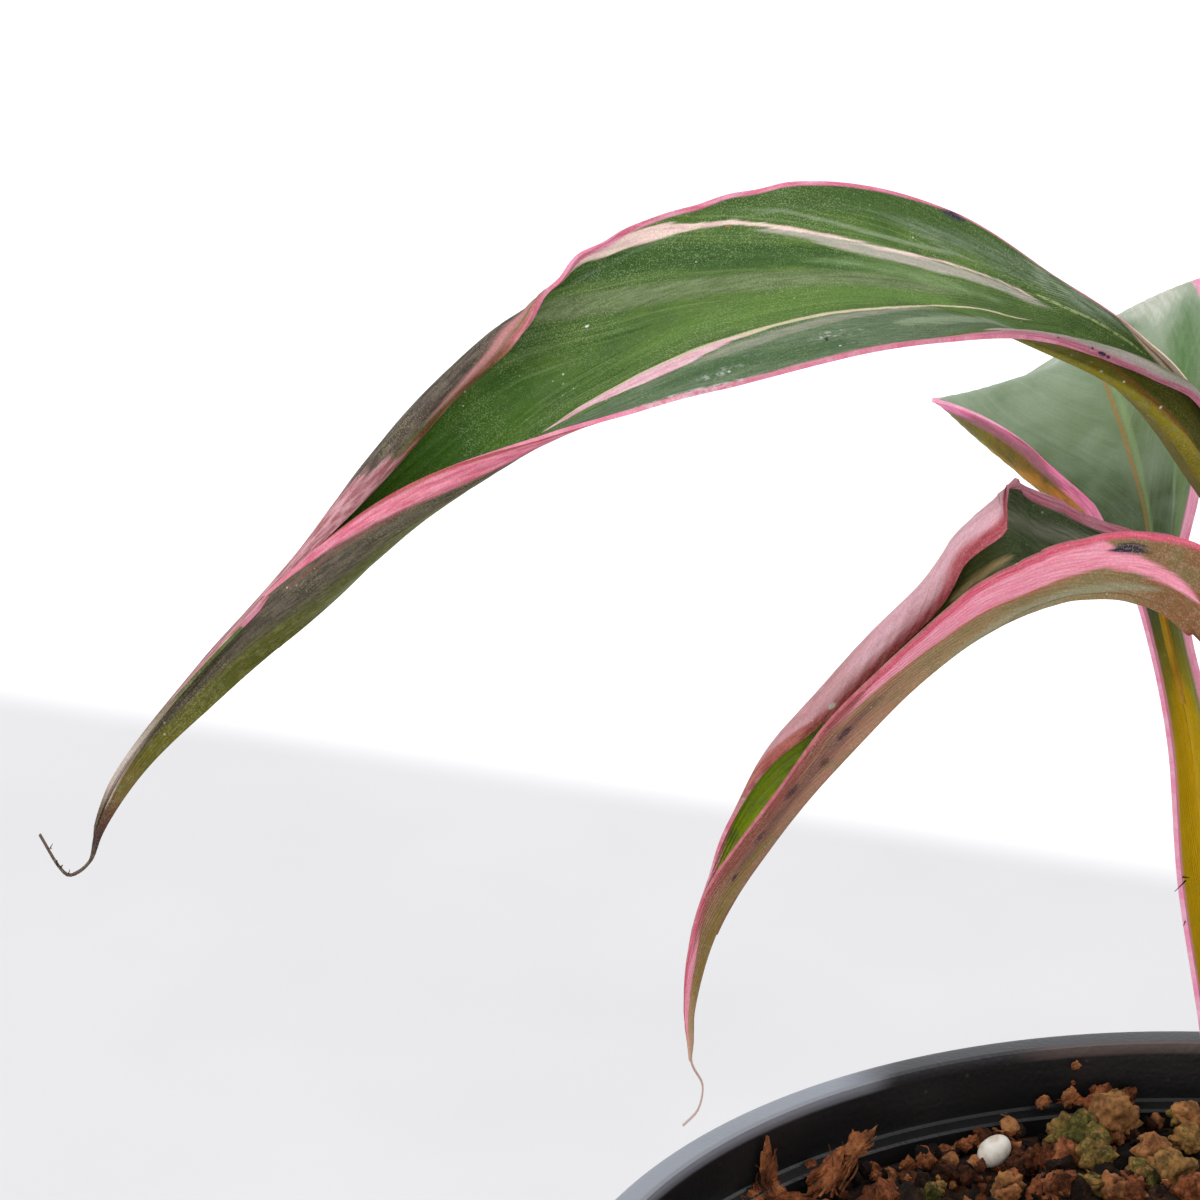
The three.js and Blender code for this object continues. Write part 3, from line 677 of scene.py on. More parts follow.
leafOneTop = dict(
    roughness=0.45,
    # the pale body stops from arc 88 to 94.5 are a painted highlight on the tip's edge
    body=((0, 78, 106, 30), (16, 78, 108, 46), (30, 74, 106, 42), (46, 70, 102, 38), (56, 60, 98, 28),
          (62, 72, 122, 10), (70, 96, 132, 10), (78, 80, 104, 10), (84, 92, 90, 46), (88, 150, 132, 116),
          (92, 202, 186, 176), (94.5, 190, 172, 162), (96.5, 96, 62, 54), (99, 70, 50, 46),
          (106, 98, 76, 66)),
    tip=90,
    mottles=((0.16, 0.52, 0.1, 0.45, (92, 122, 44)), (0.3, 0.56, 0.08, 0.5, (54, 84, 38)),
             (1.1, 0.55, 0.1, 0.25, (54, 84, 36))),
    speckle=(10, 0.59, 0.42, (172, 190, 136)), lines=6, fine=0.24, veinColour=(136, 156, 100), bold=0.16,
    lineColour=(166, 180, 140),
    bands=(
        # glaucous fan at the base and a painted grey sheen over the near half, seen at a grazing angle
        dict(colour=(88, 110, 84), second=(116, 132, 108), soft=0.03, fray=0.06, share=0.8, points=(
            (15, 0.42, -0.1), (18, 0.42, 0.1), (22, 0.3, 0.13), (27, 0.2, 0.17), (33, 0.16, 0.17),
            (40, 0.12, 0.14), (48, 0.1, 0.12), (56, 0.08, 0.1), (62, 0.05, -0.05))),
        dict(colour=(64, 96, 56), soft=0.03, fray=0.1, share=0.75, points=(
            (29, 0.1, -0.05), (34, 0.1, 0.05), (40, 0.13, 0.05), (46, 0.13, 0.02), (50, 0.13, -0.05))),
        # pale fan lines
        dict(colour=(156, 172, 140), soft=0.02, fray=0.12, share=0.8, points=(
            (17, 0.45, -0.02), (19, 0.45, 0.03), (22, 0.36, 0.05), (25, 0.3, 0.04), (28, 0.25, -0.02))),
        # mauve-grey band beside the near stripe
        dict(colour=(138, 142, 124), second=(158, 156, 142), soft=0.012, fray=0.03, share=0.85, points=(
            (22, 0.46, -0.02), (25, 0.42, 0.012), (29, 0.335, 0.022), (32.5, 0.29, 0.025),
            (36, 0.25, 0.026), (39.5, 0.225, 0.024), (44, 0.2, -0.02))),
        # yellow-green middle
        dict(colour=(98, 134, 58), soft=0.06, fray=0.1, share=0.6, points=(
            (20, 0.5, -0.05), (25, 0.5, 0.05), (33, 0.44, 0.07), (41, 0.42, 0.06), (50, 0.4, -0.05))),
        # grey band past the midrib and the dark band beyond it
        dict(colour=(100, 116, 76), second=(126, 140, 102), soft=0.02, fray=0.05, share=0.8, points=(
            (21, 0.64, -0.02), (25, 0.58, 0.03), (32.3, 0.565, 0.04), (36, 0.58, 0.045),
            (41, 0.645, 0.05), (44.6, 0.71, 0.055), (49, 0.8, 0.06), (52, 0.85, -0.02))),
        dict(colour=(48, 80, 34), second=(60, 94, 42), soft=0.012, fray=0.03, share=0.8, points=(
            (24, 0.64, -0.02), (28, 0.64, 0.02), (32.3, 0.675, 0.05), (36, 0.71, 0.055),
            (39.3, 0.77, 0.06), (43, 0.85, 0.06), (47, 0.92, 0.05), (50, 0.97, -0.02))),
        # grey-pink double line with stripe (a)
        dict(colour=(176, 176, 162), second=(200, 186, 178), soft=0.012, fray=0.03, share=0.92, points=(
            (14, 0.86, -0.012), (17, 0.82, 0.016), (19, 0.79, 0.02), (22, 0.74, 0.022), (25, 0.715, 0.03),
            (30.4, 0.735, 0.026), (33.5, 0.785, 0.014), (37, 0.85, -0.01))),
        dict(colour=(248, 224, 210), second=(246, 204, 204), soft=0.006, fray=0.036, points=(
            (15, 0.855, -0.006), (18, 0.83, 0.004), (22.8, 0.765, 0.006), (27.5, 0.74, 0.006),
            (31.4, 0.769, 0.006), (35.7, 0.85, 0.009), (38, 0.896, 0.009), (40.4, 0.925, 0.02),
            (43.6, 0.954, 0.03), (46, 0.976, 0.027), (48.6, 1.0, 0.02), (50, 1.02, -0.01))),
        # pale streaks outside stripe (a)
        dict(colour=(158, 170, 144), fray=0.03, share=0.5, points=(
            (18, 0.89, -0.004), (22, 0.83, 0.006), (27, 0.793, 0.008), (31.4, 0.832, 0.008),
            (35, 0.905, 0.006), (38, 0.95, -0.01))),
        # bloom along the far ridge and under the double line
        dict(colour=(172, 184, 166), second=(116, 138, 104), soft=0.04, fray=0.1, share=0.75, points=(
            (8.5, 0.97, -0.02), (11, 0.975, 0.03), (14, 0.97, 0.05), (17, 0.96, 0.05), (20, 0.92, 0.04),
            (25, 0.88, 0.025), (29, 0.9, -0.02))),
        dict(colour=(136, 162, 110), second=(112, 140, 86), soft=0.03, fray=0.06, share=0.8, points=(
            (18, 0.72, -0.02), (21, 0.665, 0.02), (25, 0.635, 0.026), (29, 0.64, 0.022), (34, 0.66, -0.02))),
        # stripe (b): a cream line that turns into a pink wedge
        dict(colour=(214, 202, 166), second=(226, 208, 180), soft=0.004, fray=0.012, points=(
            (16, 0.72, -0.006), (18, 0.64, 0.005), (20.5, 0.57, 0.006), (24.3, 0.457, 0.007),
            (27.1, 0.394, 0.008), (30, 0.356, 0.008), (32.3, 0.337, 0.009), (35.7, 0.3125, 0.009),
            (39.3, 0.288, 0.014), (45, 0.279, 0.009), (48.2, 0.277, 0.007), (51.8, 0.26, 0.006),
            (54, 0.238, 0.004), (55, 0.23, -0.006))),
        dict(colour=(236, 168, 190), second=(240, 204, 212), soft=0.006, fray=0.04, points=(
            (37, 0.29, -0.01), (39.3, 0.282, 0.008), (41, 0.268, 0.016), (43.6, 0.246, 0.03),
            (46, 0.242, 0.033), (48.2, 0.245, 0.029), (50.7, 0.248, 0.02), (53.6, 0.234, 0.01),
            (55.5, 0.226, -0.006))),
        # dark far half near the top of the arch; deep green inside the tube, a saturated glaze that also
        # paints shade in the hollow
        dict(colour=(60, 88, 42), soft=0.03, fray=0.08, share=0.6, points=(
            (16, 0.94, -0.02), (22, 0.94, 0.08), (32, 0.95, 0.07), (38, 0.98, 0.02), (42, 1, -0.02))),
        dict(colour=(44, 92, 0), soft=0.08, fray=0.1, share=0.45, points=(
            (52, 0.55, -0.1), (58, 0.6, 0.3), (66, 0.6, 0.45), (80, 0.6, 0.3), (84, 0.6, -0.1))),
        # pale dotted line toward the stalk
        dict(colour=(190, 204, 140), soft=0.004, share=0.9, breaks=(2.6, 0.47), points=(
            (6, 0.95, -0.004), (8, 0.94, 0.005), (11.9, 0.917, 0.007), (15.1, 0.883, 0.007),
            (17, 0.865, -0.004))),
        # grey-pink bloom over the recurved near margin
        dict(colour=(204, 194, 184), second=(222, 202, 198), soft=0.02, fray=0.05, share=0.9, points=(
            (0, 0.06, -0.02), (5, 0.06, 0.03), (9, 0.07, 0.04), (12, 0.085, 0.06), (16, 0.13, 0.085),
            (19, 0.14, 0.06), (22, 0.12, -0.02))),
        # margins
        dict(colour=(226, 116, 148), second=(240, 158, 184), soft=0.012, points=(
            (-6, 0, 0.08), (4, 0, 0.045), (8, 0, 0.048), (12.5, 0, 0.054), (16, 0, 0.07), (19, 0, 0.085),
            (22.1, 0, 0.07), (25, 0, 0.045), (28, 0, 0.028), (32.3, 0, 0.018), (36, 0, 0.012),
            (45, 0, 0.011), (48, 0, 0.02), (52, 0, 0.05), (55, 0, 0.09), (58, 0, 0.08), (64, 0, 0.07),
            (74, 0, 0.06), (84, 0, 0.08), (92, 0, -0.1))),
        dict(colour=(228, 110, 146), second=(240, 160, 190), soft=0.005, fray=0.01, points=(
            (0, 1, 0.02), (5, 1, 0.004), (10, 1, 0.004), (20, 1, 0.006), (30, 1, 0.016), (38, 1, 0.02),
            (45, 1, 0.024), (52, 1, 0.04), (60, 1, 0.06), (74, 1, 0.06), (82, 1, -0.1))),
        dict(colour=(252, 214, 188), second=(255, 228, 210), points=(
            (-4, 0.975, 0.035), (4, 0.978, 0.03), (8, 0.988, 0.013), (10.5, 0.997, -0.005))),
        dict(colour=(140, 92, 62), soft=0.004, fray=0.01, share=0.9, points=(
            (-2, 0.968, 0.005), (4, 0.974, 0.005), (8, 0.986, 0.003), (10, 0.99, -0.004))),
        # scurf where dust has gathered on the near half
        dict(colour=(214, 216, 210), soft=0.02, fray=0.1, share=0.7, breaks=(2.4, 0.6), points=(
            (29, 0.2, -0.01), (32, 0.19, 0.03), (35, 0.15, -0.01))),
        dict(colour=(206, 210, 204), soft=0.03, fray=0.1, share=0.6, breaks=(2.0, 0.58), points=(
            (39, 0.1, -0.01), (41.5, 0.09, 0.03), (44, 0.09, -0.01))),
        dict(colour=(228, 220, 218), soft=0.01, fray=0.04, share=0.7, breaks=(1.6, 0.52), points=(
            (39, 0.01, -0.01), (42, 0.01, 0.02), (47, 0.01, 0.02), (50, 0.01, -0.01))),
    ),
    marks=((23.6, 0.985, 1.0, 0.016, violet), (32.6, 0.155, 0.22, 0.018, (40, 44, 34)),
           (37.6, 0.874, 0.25, 0.004, (170, 110, 70)), (12.4, 0.036, 0.3, 0.018, violet),
           (11.9, 0.03, 0.16, 0.014, violet), (13.2, 0.05, 0.12, 0.012, violet),
           (16, 0.05, 0.12, 0.014, (150, 60, 90)), (48.4, 0.683, 0.16, 0.006, (240, 240, 236))),
    shading=0.16, pepper=0.8, dust=(1.3, 0.16, 0.7), bump=0.06,
)

leafOneUnder = dict(
    roughness=0.5,
    body=((-40, 150, 112, 34), (-8, 134, 112, 20), (4, 132, 118, 4), (16, 122, 116, 14),
          (24, 106, 110, 40), (40, 100, 110, 50), (64, 102, 112, 62), (78, 72, 80, 28), (86, 82, 86, 14),
          (91, 98, 94, 18), (94.5, 116, 92, 54), (96.8, 86, 48, 46), (99, 62, 46, 46), (103, 112, 84, 76),
          (106, 88, 70, 66)),
    tip=99,
    mottles=((0.5, 0.55, 0.08, 0.4, (72, 84, 34)), (1.6, 0.56, 0.06, 0.35, (132, 130, 84))),
    lines=5, speckle=(9, 0.56, 0.4, (160, 152, 104)), fine=0.3, veinColour=(138, 126, 58), bold=0.15,
    lineColour=(84, 88, 40),
    bands=(
        # dark olive beside the keel at the base, brown keel line, yellow-olive beyond
        dict(colour=(64, 72, 6), second=(84, 88, 14), soft=0.03, fray=0.03, share=0.9, points=(
            (-14, 0.2, -0.1), (-6, 0.26, 0.17), (0, 0.26, 0.17), (7, 0.24, 0.16), (11, 0.16, 0.16),
            (15, 0.06, 0.1), (20, 0, -0.05))),
        dict(colour=(150, 102, 44), second=(122, 84, 40), soft=0.02, fray=0.03, share=0.85, points=(
            (-20, 0.48, 0.015), (-8, 0.46, 0.02), (0, 0.45, 0.02), (7, 0.42, 0.02), (10.7, 0.33, 0.024),
            (14.3, 0.17, 0.026), (18, 0.03, -0.02))),
        # mauve-grey flank of the cone toward the tip
        dict(colour=(66, 58, 56), second=(104, 92, 84), soft=0.06, fray=0.3, share=0.88, points=(
            (50, 0.05, -0.05), (56, 0.09, 0.07), (66, 0.1, 0.1), (76, 0.12, 0.12), (84, 0.1, 0.12),
            (90, 0.06, 0.06), (94, 0.04, -0.05))),
        dict(colour=(64, 54, 58), second=(112, 98, 94), soft=0.04, fray=0.2, share=0.9, points=(
            (46, 0.9, -0.05), (52, 0.9, 0.06), (57, 0.88, 0.09), (66, 0.88, 0.11), (80, 0.86, 0.12),
            (88, 0.88, 0.06), (94, 0.9, -0.05))),
        dict(colour=(76, 64, 62), soft=0.02, fray=0.08, share=0.7, breaks=(0.9, 0.48), points=(
            (52, 0.92, -0.02), (56, 0.925, 0.02), (60, 0.92, 0.025), (64, 0.91, -0.02))),
        # pink margins
        dict(colour=(218, 104, 132), second=(238, 150, 172), soft=0.012, points=(
            (-10, 0, 0.03), (0, 0, 0.03), (10, 0, 0.05), (18, 0, 0.06), (24, 0, 0.1), (30, 0, 0.05),
            (48, 0, 0.05), (53, 0, 0.11), (58, 0, 0.11), (66, 0, 0.085), (72, 0, 0.05), (78, 0, 0.025),
            (88, 0, 0.0), (99, 0, -0.02))),
        dict(colour=(160, 74, 80), soft=0.012, fray=0.03, share=0.35, points=(
            (50, 0.1, -0.01), (56, 0.105, 0.01), (66, 0.09, 0.008), (73, 0.08, 0.006), (78, 0.07, -0.01))),
        dict(colour=(176, 62, 66), share=0.85, points=(
            (50, 0.0, -0.01), (54, 0.0, 0.018), (60, 0.0, 0.016), (67, 0.0, 0.014), (73, 0.0, -0.01))),
        dict(colour=(176, 80, 90), second=(214, 130, 140), soft=0.014, fray=0.03, points=(
            (-10, 1, 0.03), (10, 1, 0.02), (30, 1, 0.02), (46, 1, 0.04), (52, 1, 0.035), (56, 1, 0.01),
            (58, 1, -0.02))),
        dict(colour=(122, 72, 46), second=(150, 98, 70), soft=0.02, fray=0.06, points=(
            (53, 1, -0.02), (55, 1, 0.03), (60, 1, 0.03), (64, 1, 0.02), (67, 1, -0.02))),
        dict(colour=(164, 96, 104), second=(212, 160, 168), soft=0.03, fray=0.2, points=(
            (63, 1, -0.02), (66, 1, 0.09), (72, 1, 0.14), (80, 1, 0.1), (88, 1, 0.03), (92, 1, -0.02))),
        dict(colour=(224, 150, 156), soft=0.014, fray=0.04, share=0.7, points=(
            (49, 0.93, -0.01), (52, 0.94, 0.02), (56, 0.955, 0.016), (62, 0.96, -0.01))),
        dict(colour=(220, 178, 150), soft=0.01, fray=0.01, points=(
            (0, 1, 0.02), (5, 1, 0.02), (9, 1, 0.02), (12, 1, -0.01))),
        # painted highlight as a pale streak along the near edge toward the tip, and a dark patch near the tip
        dict(colour=(226, 208, 200), second=(168, 140, 126), soft=0.03, fray=0.14, share=0.7, points=(
            (84, 0.0, -0.02), (88, 0.0, 0.02), (92, 0.0, 0.05), (95, 0.0, 0.07), (96.5, 0.0, -0.02))),
    ),
    marks=((10.4, 0.02, 0.8, 0.02, violet), (5.9, 0.43, 0.1, 0.014, (236, 230, 210)),
           (9.4, 0.42, 0.08, 0.014, (236, 230, 210))),
    shading=0.2, pepper=0.9, dust=(1.4, 0.2, 0.5), bump=0.07,
)

leafTwoTop = dict(
    roughness=0.46,
    body=((-8, 120, 120, 56), (12, 66, 84, 54), (20, 74, 92, 56), (24, 104, 112, 48), (32, 120, 140, 20),
          (42, 156, 182, 0), (54, 156, 176, 0), (60, 130, 110, 40), (66, 184, 138, 116),
          (74, 196, 176, 170)),
    tip=64,
    mottles=((0.4, 0.55, 0.08, 0.4, (54, 72, 44)), (0.9, 0.57, 0.06, 0.3, (118, 128, 84))),
    lines=3, speckle=(7.5, 0.58, 0.35, (140, 150, 120)), fine=0.35, veinColour=(100, 112, 80), bold=0.3,
    lineColour=(150, 156, 134),
    bands=(
        dict(colour=(138, 140, 122), second=(168, 166, 150), soft=0.03, fray=0.1, share=0.6, points=(
            (12, 0.86, -0.02), (15, 0.86, 0.03), (18, 0.84, 0.04), (20, 0.8, 0.03), (23, 0.76, -0.02))),
        dict(colour=(214, 186, 132), soft=0.01, fray=0.03, points=(
            (20.5, 0.665, -0.01), (22, 0.68, 0.012), (23.5, 0.705, 0.012), (25.2, 0.73, 0.01),
            (26.5, 0.74, -0.01))),
        dict(colour=(220, 112, 140), second=(238, 164, 184), soft=0.012, fray=0.03, points=(
            (0, 1, 0.1), (10, 1, 0.1), (14, 1, 0.07), (20.4, 1, 0.05), (30, 1, 0.05), (58, 1, 0.06),
            (66, 1, -0.1))),
        dict(colour=(186, 92, 108), second=(200, 122, 126), soft=0.012, fray=0.03, points=(
            (0, 0, 0.1), (30, 0, 0.08), (37, 0, 0.04), (52, 0, 0.04), (58, 0, 0.08), (66, 0, -0.1))),
    ),
    shading=0.3, pepper=0.5, dust=(1.8, 0.32, 0.8), bump=0.1,
)

leafTwoUnder = dict(
    roughness=0.5,
    body=((-40, 176, 132, 60), (-6, 150, 84, 34), (4, 140, 76, 38), (12, 134, 96, 58), (17, 140, 122, 78),
          (28, 160, 132, 92), (38, 176, 126, 104), (50, 150, 110, 88), (60, 150, 116, 70),
          (65, 184, 148, 116), (74, 206, 188, 182)),
    tip=67,
    mottles=((0.6, 0.56, 0.08, 0.4, (112, 118, 72)), (1.8, 0.58, 0.06, 0.3, (170, 140, 118))),
    lines=3, speckle=(7.5, 0.58, 0.35, (206, 180, 160)), fine=0.16, veinColour=(176, 146, 116), bold=0.06,
    lineColour=(104, 90, 54),
    bands=(
        # mauve dark streaks lower down
        dict(colour=(104, 66, 66), second=(140, 96, 86), soft=0.05, fray=0.3, share=0.75, points=(
            (30, 0.22, -0.05), (34, 0.24, 0.04), (40, 0.24, 0.09), (46, 0.24, 0.08), (54, 0.24, -0.05))),
        dict(colour=(150, 124, 62), second=(112, 104, 50), soft=0.05, fray=0.1, share=0.7, points=(
            (44, 0.4, -0.05), (50, 0.36, 0.06), (58, 0.36, 0.08), (64, 0.4, -0.05))),
        # grey-green keel line under the curve
        dict(colour=(150, 150, 122), soft=0.02, fray=0.05, share=0.7, points=(
            (11, 0.36, -0.02), (14, 0.4, 0.03), (18, 0.44, 0.04), (24, 0.47, 0.03), (30, 0.49, -0.02))),
        # pink over the upper half, forking round an olive patch at the base
        dict(colour=(248, 138, 164), second=(252, 172, 192), soft=0.02, fray=0.06, points=(
            (9, 0.32, -0.02), (11, 0.29, 0.035), (13, 0.25, 0.05), (15, 0.2, 0.075), (17.2, 0.13, 0.13),
            (21.4, 0.12, 0.17), (25, 0.08, 0.17), (28.6, 0.05, 0.145), (35.7, 0, 0.1), (40, 0, 0.02),
            (46, 0, 0.01), (51, 0, 0.05), (56, 0, 0.12), (62, 0, 0.2), (65, 0, 0.1), (68, 0, -0.04))),
        dict(colour=(222, 84, 114), second=(236, 112, 138), soft=0.02, fray=0.05, points=(
            (9, 0.0, 0.03), (12, 0.0, 0.04), (16, 0.0, 0.05), (20, 0.0, 0.06), (30, 0.0, 0.06),
            (36, 0.0, 0.05), (41, 0, 0.015), (46, 0, 0.015), (51, 0, 0.035), (60, 0, 0.05), (65, 0, 0.03),
            (68, 0, -0.04))),
        dict(colour=(112, 70, 50), second=(168, 84, 84), soft=0.04, fray=0.16, share=0.85, points=(
            (31, 0.03, -0.02), (36, 0.05, 0.05), (42, 0.06, 0.08), (48, 0.07, 0.09), (54, 0.08, 0.05),
            (59, 0.06, -0.02))),
        dict(colour=(186, 104, 78), soft=0.014, fray=0.06, share=0.7, points=(
            (16, 0.27, -0.01), (20, 0.31, 0.014), (25, 0.26, 0.014), (31, 0.19, 0.012), (38, 0.15, -0.01))),
        # rolled far side: lilac-pink tube, deep red mouth, painted brown shadow beneath the roll
        dict(colour=(250, 200, 214), second=(238, 180, 194), soft=0.06, fray=0.1, points=(
            (8, 0.93, 0.2), (18, 0.93, 0.24), (30, 0.92, 0.26), (38, 0.92, 0.24), (44, 0.93, 0.16),
            (50, 0.95, 0.08), (58, 1, -0.1))),
        dict(colour=(176, 118, 118), second=(206, 150, 154), soft=0.06, fray=0.12, share=0.75, points=(
            (28, 0.84, -0.05), (33, 0.84, 0.06), (40, 0.88, 0.1), (48, 0.94, 0.08), (56, 1, -0.05))),
        dict(colour=(126, 92, 76), soft=0.05, fray=0.1, share=0.6, points=(
            (18, 0.74, -0.02), (26, 0.72, 0.06), (38, 0.72, 0.07), (50, 0.74, 0.04), (56, 0.78, -0.02))),
        dict(colour=(188, 78, 90), second=(208, 108, 122), soft=0.02, fray=0.04, points=(
            (16, 1, -0.01), (20, 1, 0.045), (30, 1, 0.04), (42, 1, 0.045), (52, 1, 0.06), (60, 1, 0.05),
            (66, 1, -0.02))),
        dict(colour=(150, 78, 70), second=(186, 110, 96), soft=0.02, fray=0.05, share=0.85, points=(
            (36, 1, -0.02), (41, 1, 0.05), (52, 1, 0.07), (60, 1, 0.04), (64, 1, -0.02))),
    ),
    marks=((14.7, 0.115, 1.1, 0.045, (52, 46, 62)), (36.8, 0.24, 0.8, 0.05, (84, 56, 62)),
           (36.9, 0.965, 0.35, 0.012, (232, 228, 224)), (51, 0.28, 0.5, 0.04, (72, 50, 60)),
           (42.5, 0.16, 0.9, 0.06, (88, 58, 62)), (46.8, 0.2, 0.7, 0.05, (92, 62, 60)),
           (39.6, 0.3, 0.6, 0.05, (104, 70, 62))),
    shading=0.14, pepper=0.7, dust=(1.5, 0.18, 0.4), bump=0.05,
)

leafThreeTop = dict(
    roughness=0.44,
    body=((-50, 226, 192, 16), (-10, 214, 184, 6), (-4, 150, 142, 14), (2, 52, 66, 24), (9, 56, 72, 34),
          (15, 98, 118, 76), (24, 150, 168, 140), (32, 170, 184, 162), (40, 146, 166, 136),
          (60, 104, 132, 92)),
    mottles=((0.14, 0.54, 0.12, 0.5, (92, 118, 78)), (0.1, 0.56, 0.1, 0.4, (156, 176, 152))),
    lines=3, fine=0.16, veinColour=(150, 168, 138), bold=0.1, lineColour=(100, 130, 90),
    bands=(
        dict(colour=(124, 150, 98), soft=0.05, fray=0.1, share=0.6, points=(
            (8, 0.86, 0.05), (14, 0.82, 0.08), (20, 0.7, 0.05), (28, 0.6, -0.05))),
        dict(colour=(222, 224, 212), second=(196, 202, 180), soft=0.06, fray=0.08, share=0.8, points=(
            (26, 0.78, -0.03), (28.5, 0.8, 0.06), (31, 0.82, 0.11), (37, 0.8, 0.08), (43, 0.8, -0.03))),
        dict(colour=(84, 120, 66), second=(100, 136, 82), soft=0.06, fray=0.1, share=0.85, points=(
            (10, 0.76, -0.03), (16, 0.8, 0.06), (22, 0.86, 0.07), (26, 0.9, 0.04), (29, 0.92, -0.03))),
        dict(colour=(238, 196, 70), second=(222, 172, 40), soft=0.08, fray=0.06, share=0.8, points=(
            (-60, 0.5, 0.12), (-20, 0.5, 0.1), (-9, 0.5, 0.05), (-4, 0.51, -0.06), (0, 0.5, -0.1),
            (56, 0.5, -0.1))),
        dict(colour=(208, 178, 0), second=(190, 152, 2), soft=0.1, fray=0.1, share=0.8, points=(
            (-70, 0.5, 0.42), (-20, 0.5, 0.42), (-8, 0.5, 0.3), (-2, 0.5, -0.1))),
        dict(colour=(160, 122, 60), fray=0.012, share=0.7, points=(
            (-10, 0.52, -0.01), (-4, 0.52, 0.014), (6, 0.52, 0.013), (16, 0.52, 0.011),
            (30, 0.515, 0.009), (56, 0.51, 0.009))),
        dict(colour=(140, 164, 108), soft=0.014, fray=0.03, share=0.6, points=(
            (-4, 0.565, -0.01), (2, 0.56, 0.014), (16, 0.552, 0.016), (30, 0.545, 0.014),
            (46, 0.53, -0.01))),
        dict(colour=(248, 150, 186), second=(252, 190, 212), soft=0.18, fray=0.2, axis="edge", points=(
            (-70, 0, 0.4), (-20, 0, 0.4), (-2, 0, 0.55), (6, 0, 0.8), (14, 0, 0.75), (20, 0, 0.55),
            (30, 0, 0.8), (62, 0, 0.7))),
    ),
    speckle=(2.2, 0.64, 0.08, (170, 184, 156)), shading=0.1, pepper=0.4, dust=(1.2, 0.12, 0.2), bump=0.04,
)

leafThreeUnder = dict(
    roughness=0.48,
    body=((-70, 176, 140, 60), (-12, 168, 138, 38), (2, 150, 128, 18), (9, 190, 120, 70),
          (12, 196, 124, 40), (15, 204, 146, 14), (18, 186, 184, 10), (24, 150, 166, 40),
          (44, 96, 112, 50), (66, 112, 108, 60)),
    mottles=((0.35, 0.52, 0.08, 0.5, (90, 98, 16)), (0.6, 0.6, 0.05, 0.6, (190, 124, 26)),
             (1.4, 0.62, 0.05, 0.4, (60, 66, 26))),
    lines=3, speckle=(3.0, 0.62, 0.2, (190, 170, 90)), fine=0.3, veinColour=(170, 150, 70), bold=0.1,
    lineColour=(90, 96, 40),
    bands=(
        dict(colour=(206, 164, 52), second=(188, 140, 44), soft=0.05, fray=0.06, share=0.8, points=(
            (-80, 0.5, 0.18), (-30, 0.5, 0.16), (-8, 0.5, 0.12), (4, 0.5, 0.05), (30, 0.5, 0.02),
            (60, 0.5, 0.02))),
        dict(colour=(255, 126, 178), second=(255, 152, 194), soft=0.15, fray=0.2, axis="edge", points=(
            (-80, 0, 0.55), (-40, 0, 0.6), (-8, 0, 0.75), (0, 0, 0.8), (8, 0, 0.85), (12, 0, 0.95),
            (20, 0, 0.9), (26, 0, 0.75), (66, 0, 0.6))),
        dict(colour=(72, 74, 40), soft=0.02, fray=0.1, share=0.7, points=(
            (8, 0.03, -0.01), (12, 0.04, 0.02), (15.5, 0.05, 0.05), (19, 0.05, 0.03), (22, 0.05, -0.01))),
    ),
    shading=0.26, pepper=0.4, dust=(1.2, 0.2, 0.3), bump=0.08,
)

spearUnder = dict(
    roughness=0.42,
    body=((-10, 176, 150, 84), (20, 150, 150, 78), (60, 146, 156, 84), (92, 196, 150, 138)),
    mottles=((0.4, 0.55, 0.1, 0.4, (120, 134, 60)), (0.25, 0.58, 0.06, 0.5, (206, 160, 150))),
    lines=1, speckle=(7.5, 0.56, 0.3, (190, 184, 140)), fine=0.4, veinColour=(178, 176, 120), bold=0.25,
    lineColour=(110, 124, 56),
    bands=(
        dict(colour=(232, 126, 156), second=(242, 164, 188), soft=0.2, fray=0.3, axis="edge", points=(
            (-10, 0, 0.6), (90, 0, 0.6))),
    ),
    shading=0.28, pepper=0.4, dust=(1.4, 0.2, 0.3), bump=0.08,
)


def alongLeaf(length, *points):
    # arcs are shares of the leaf's length, except those before the blade
    return [(arc if arc < 0 else arc * length, *rest) for arc, *rest in points]


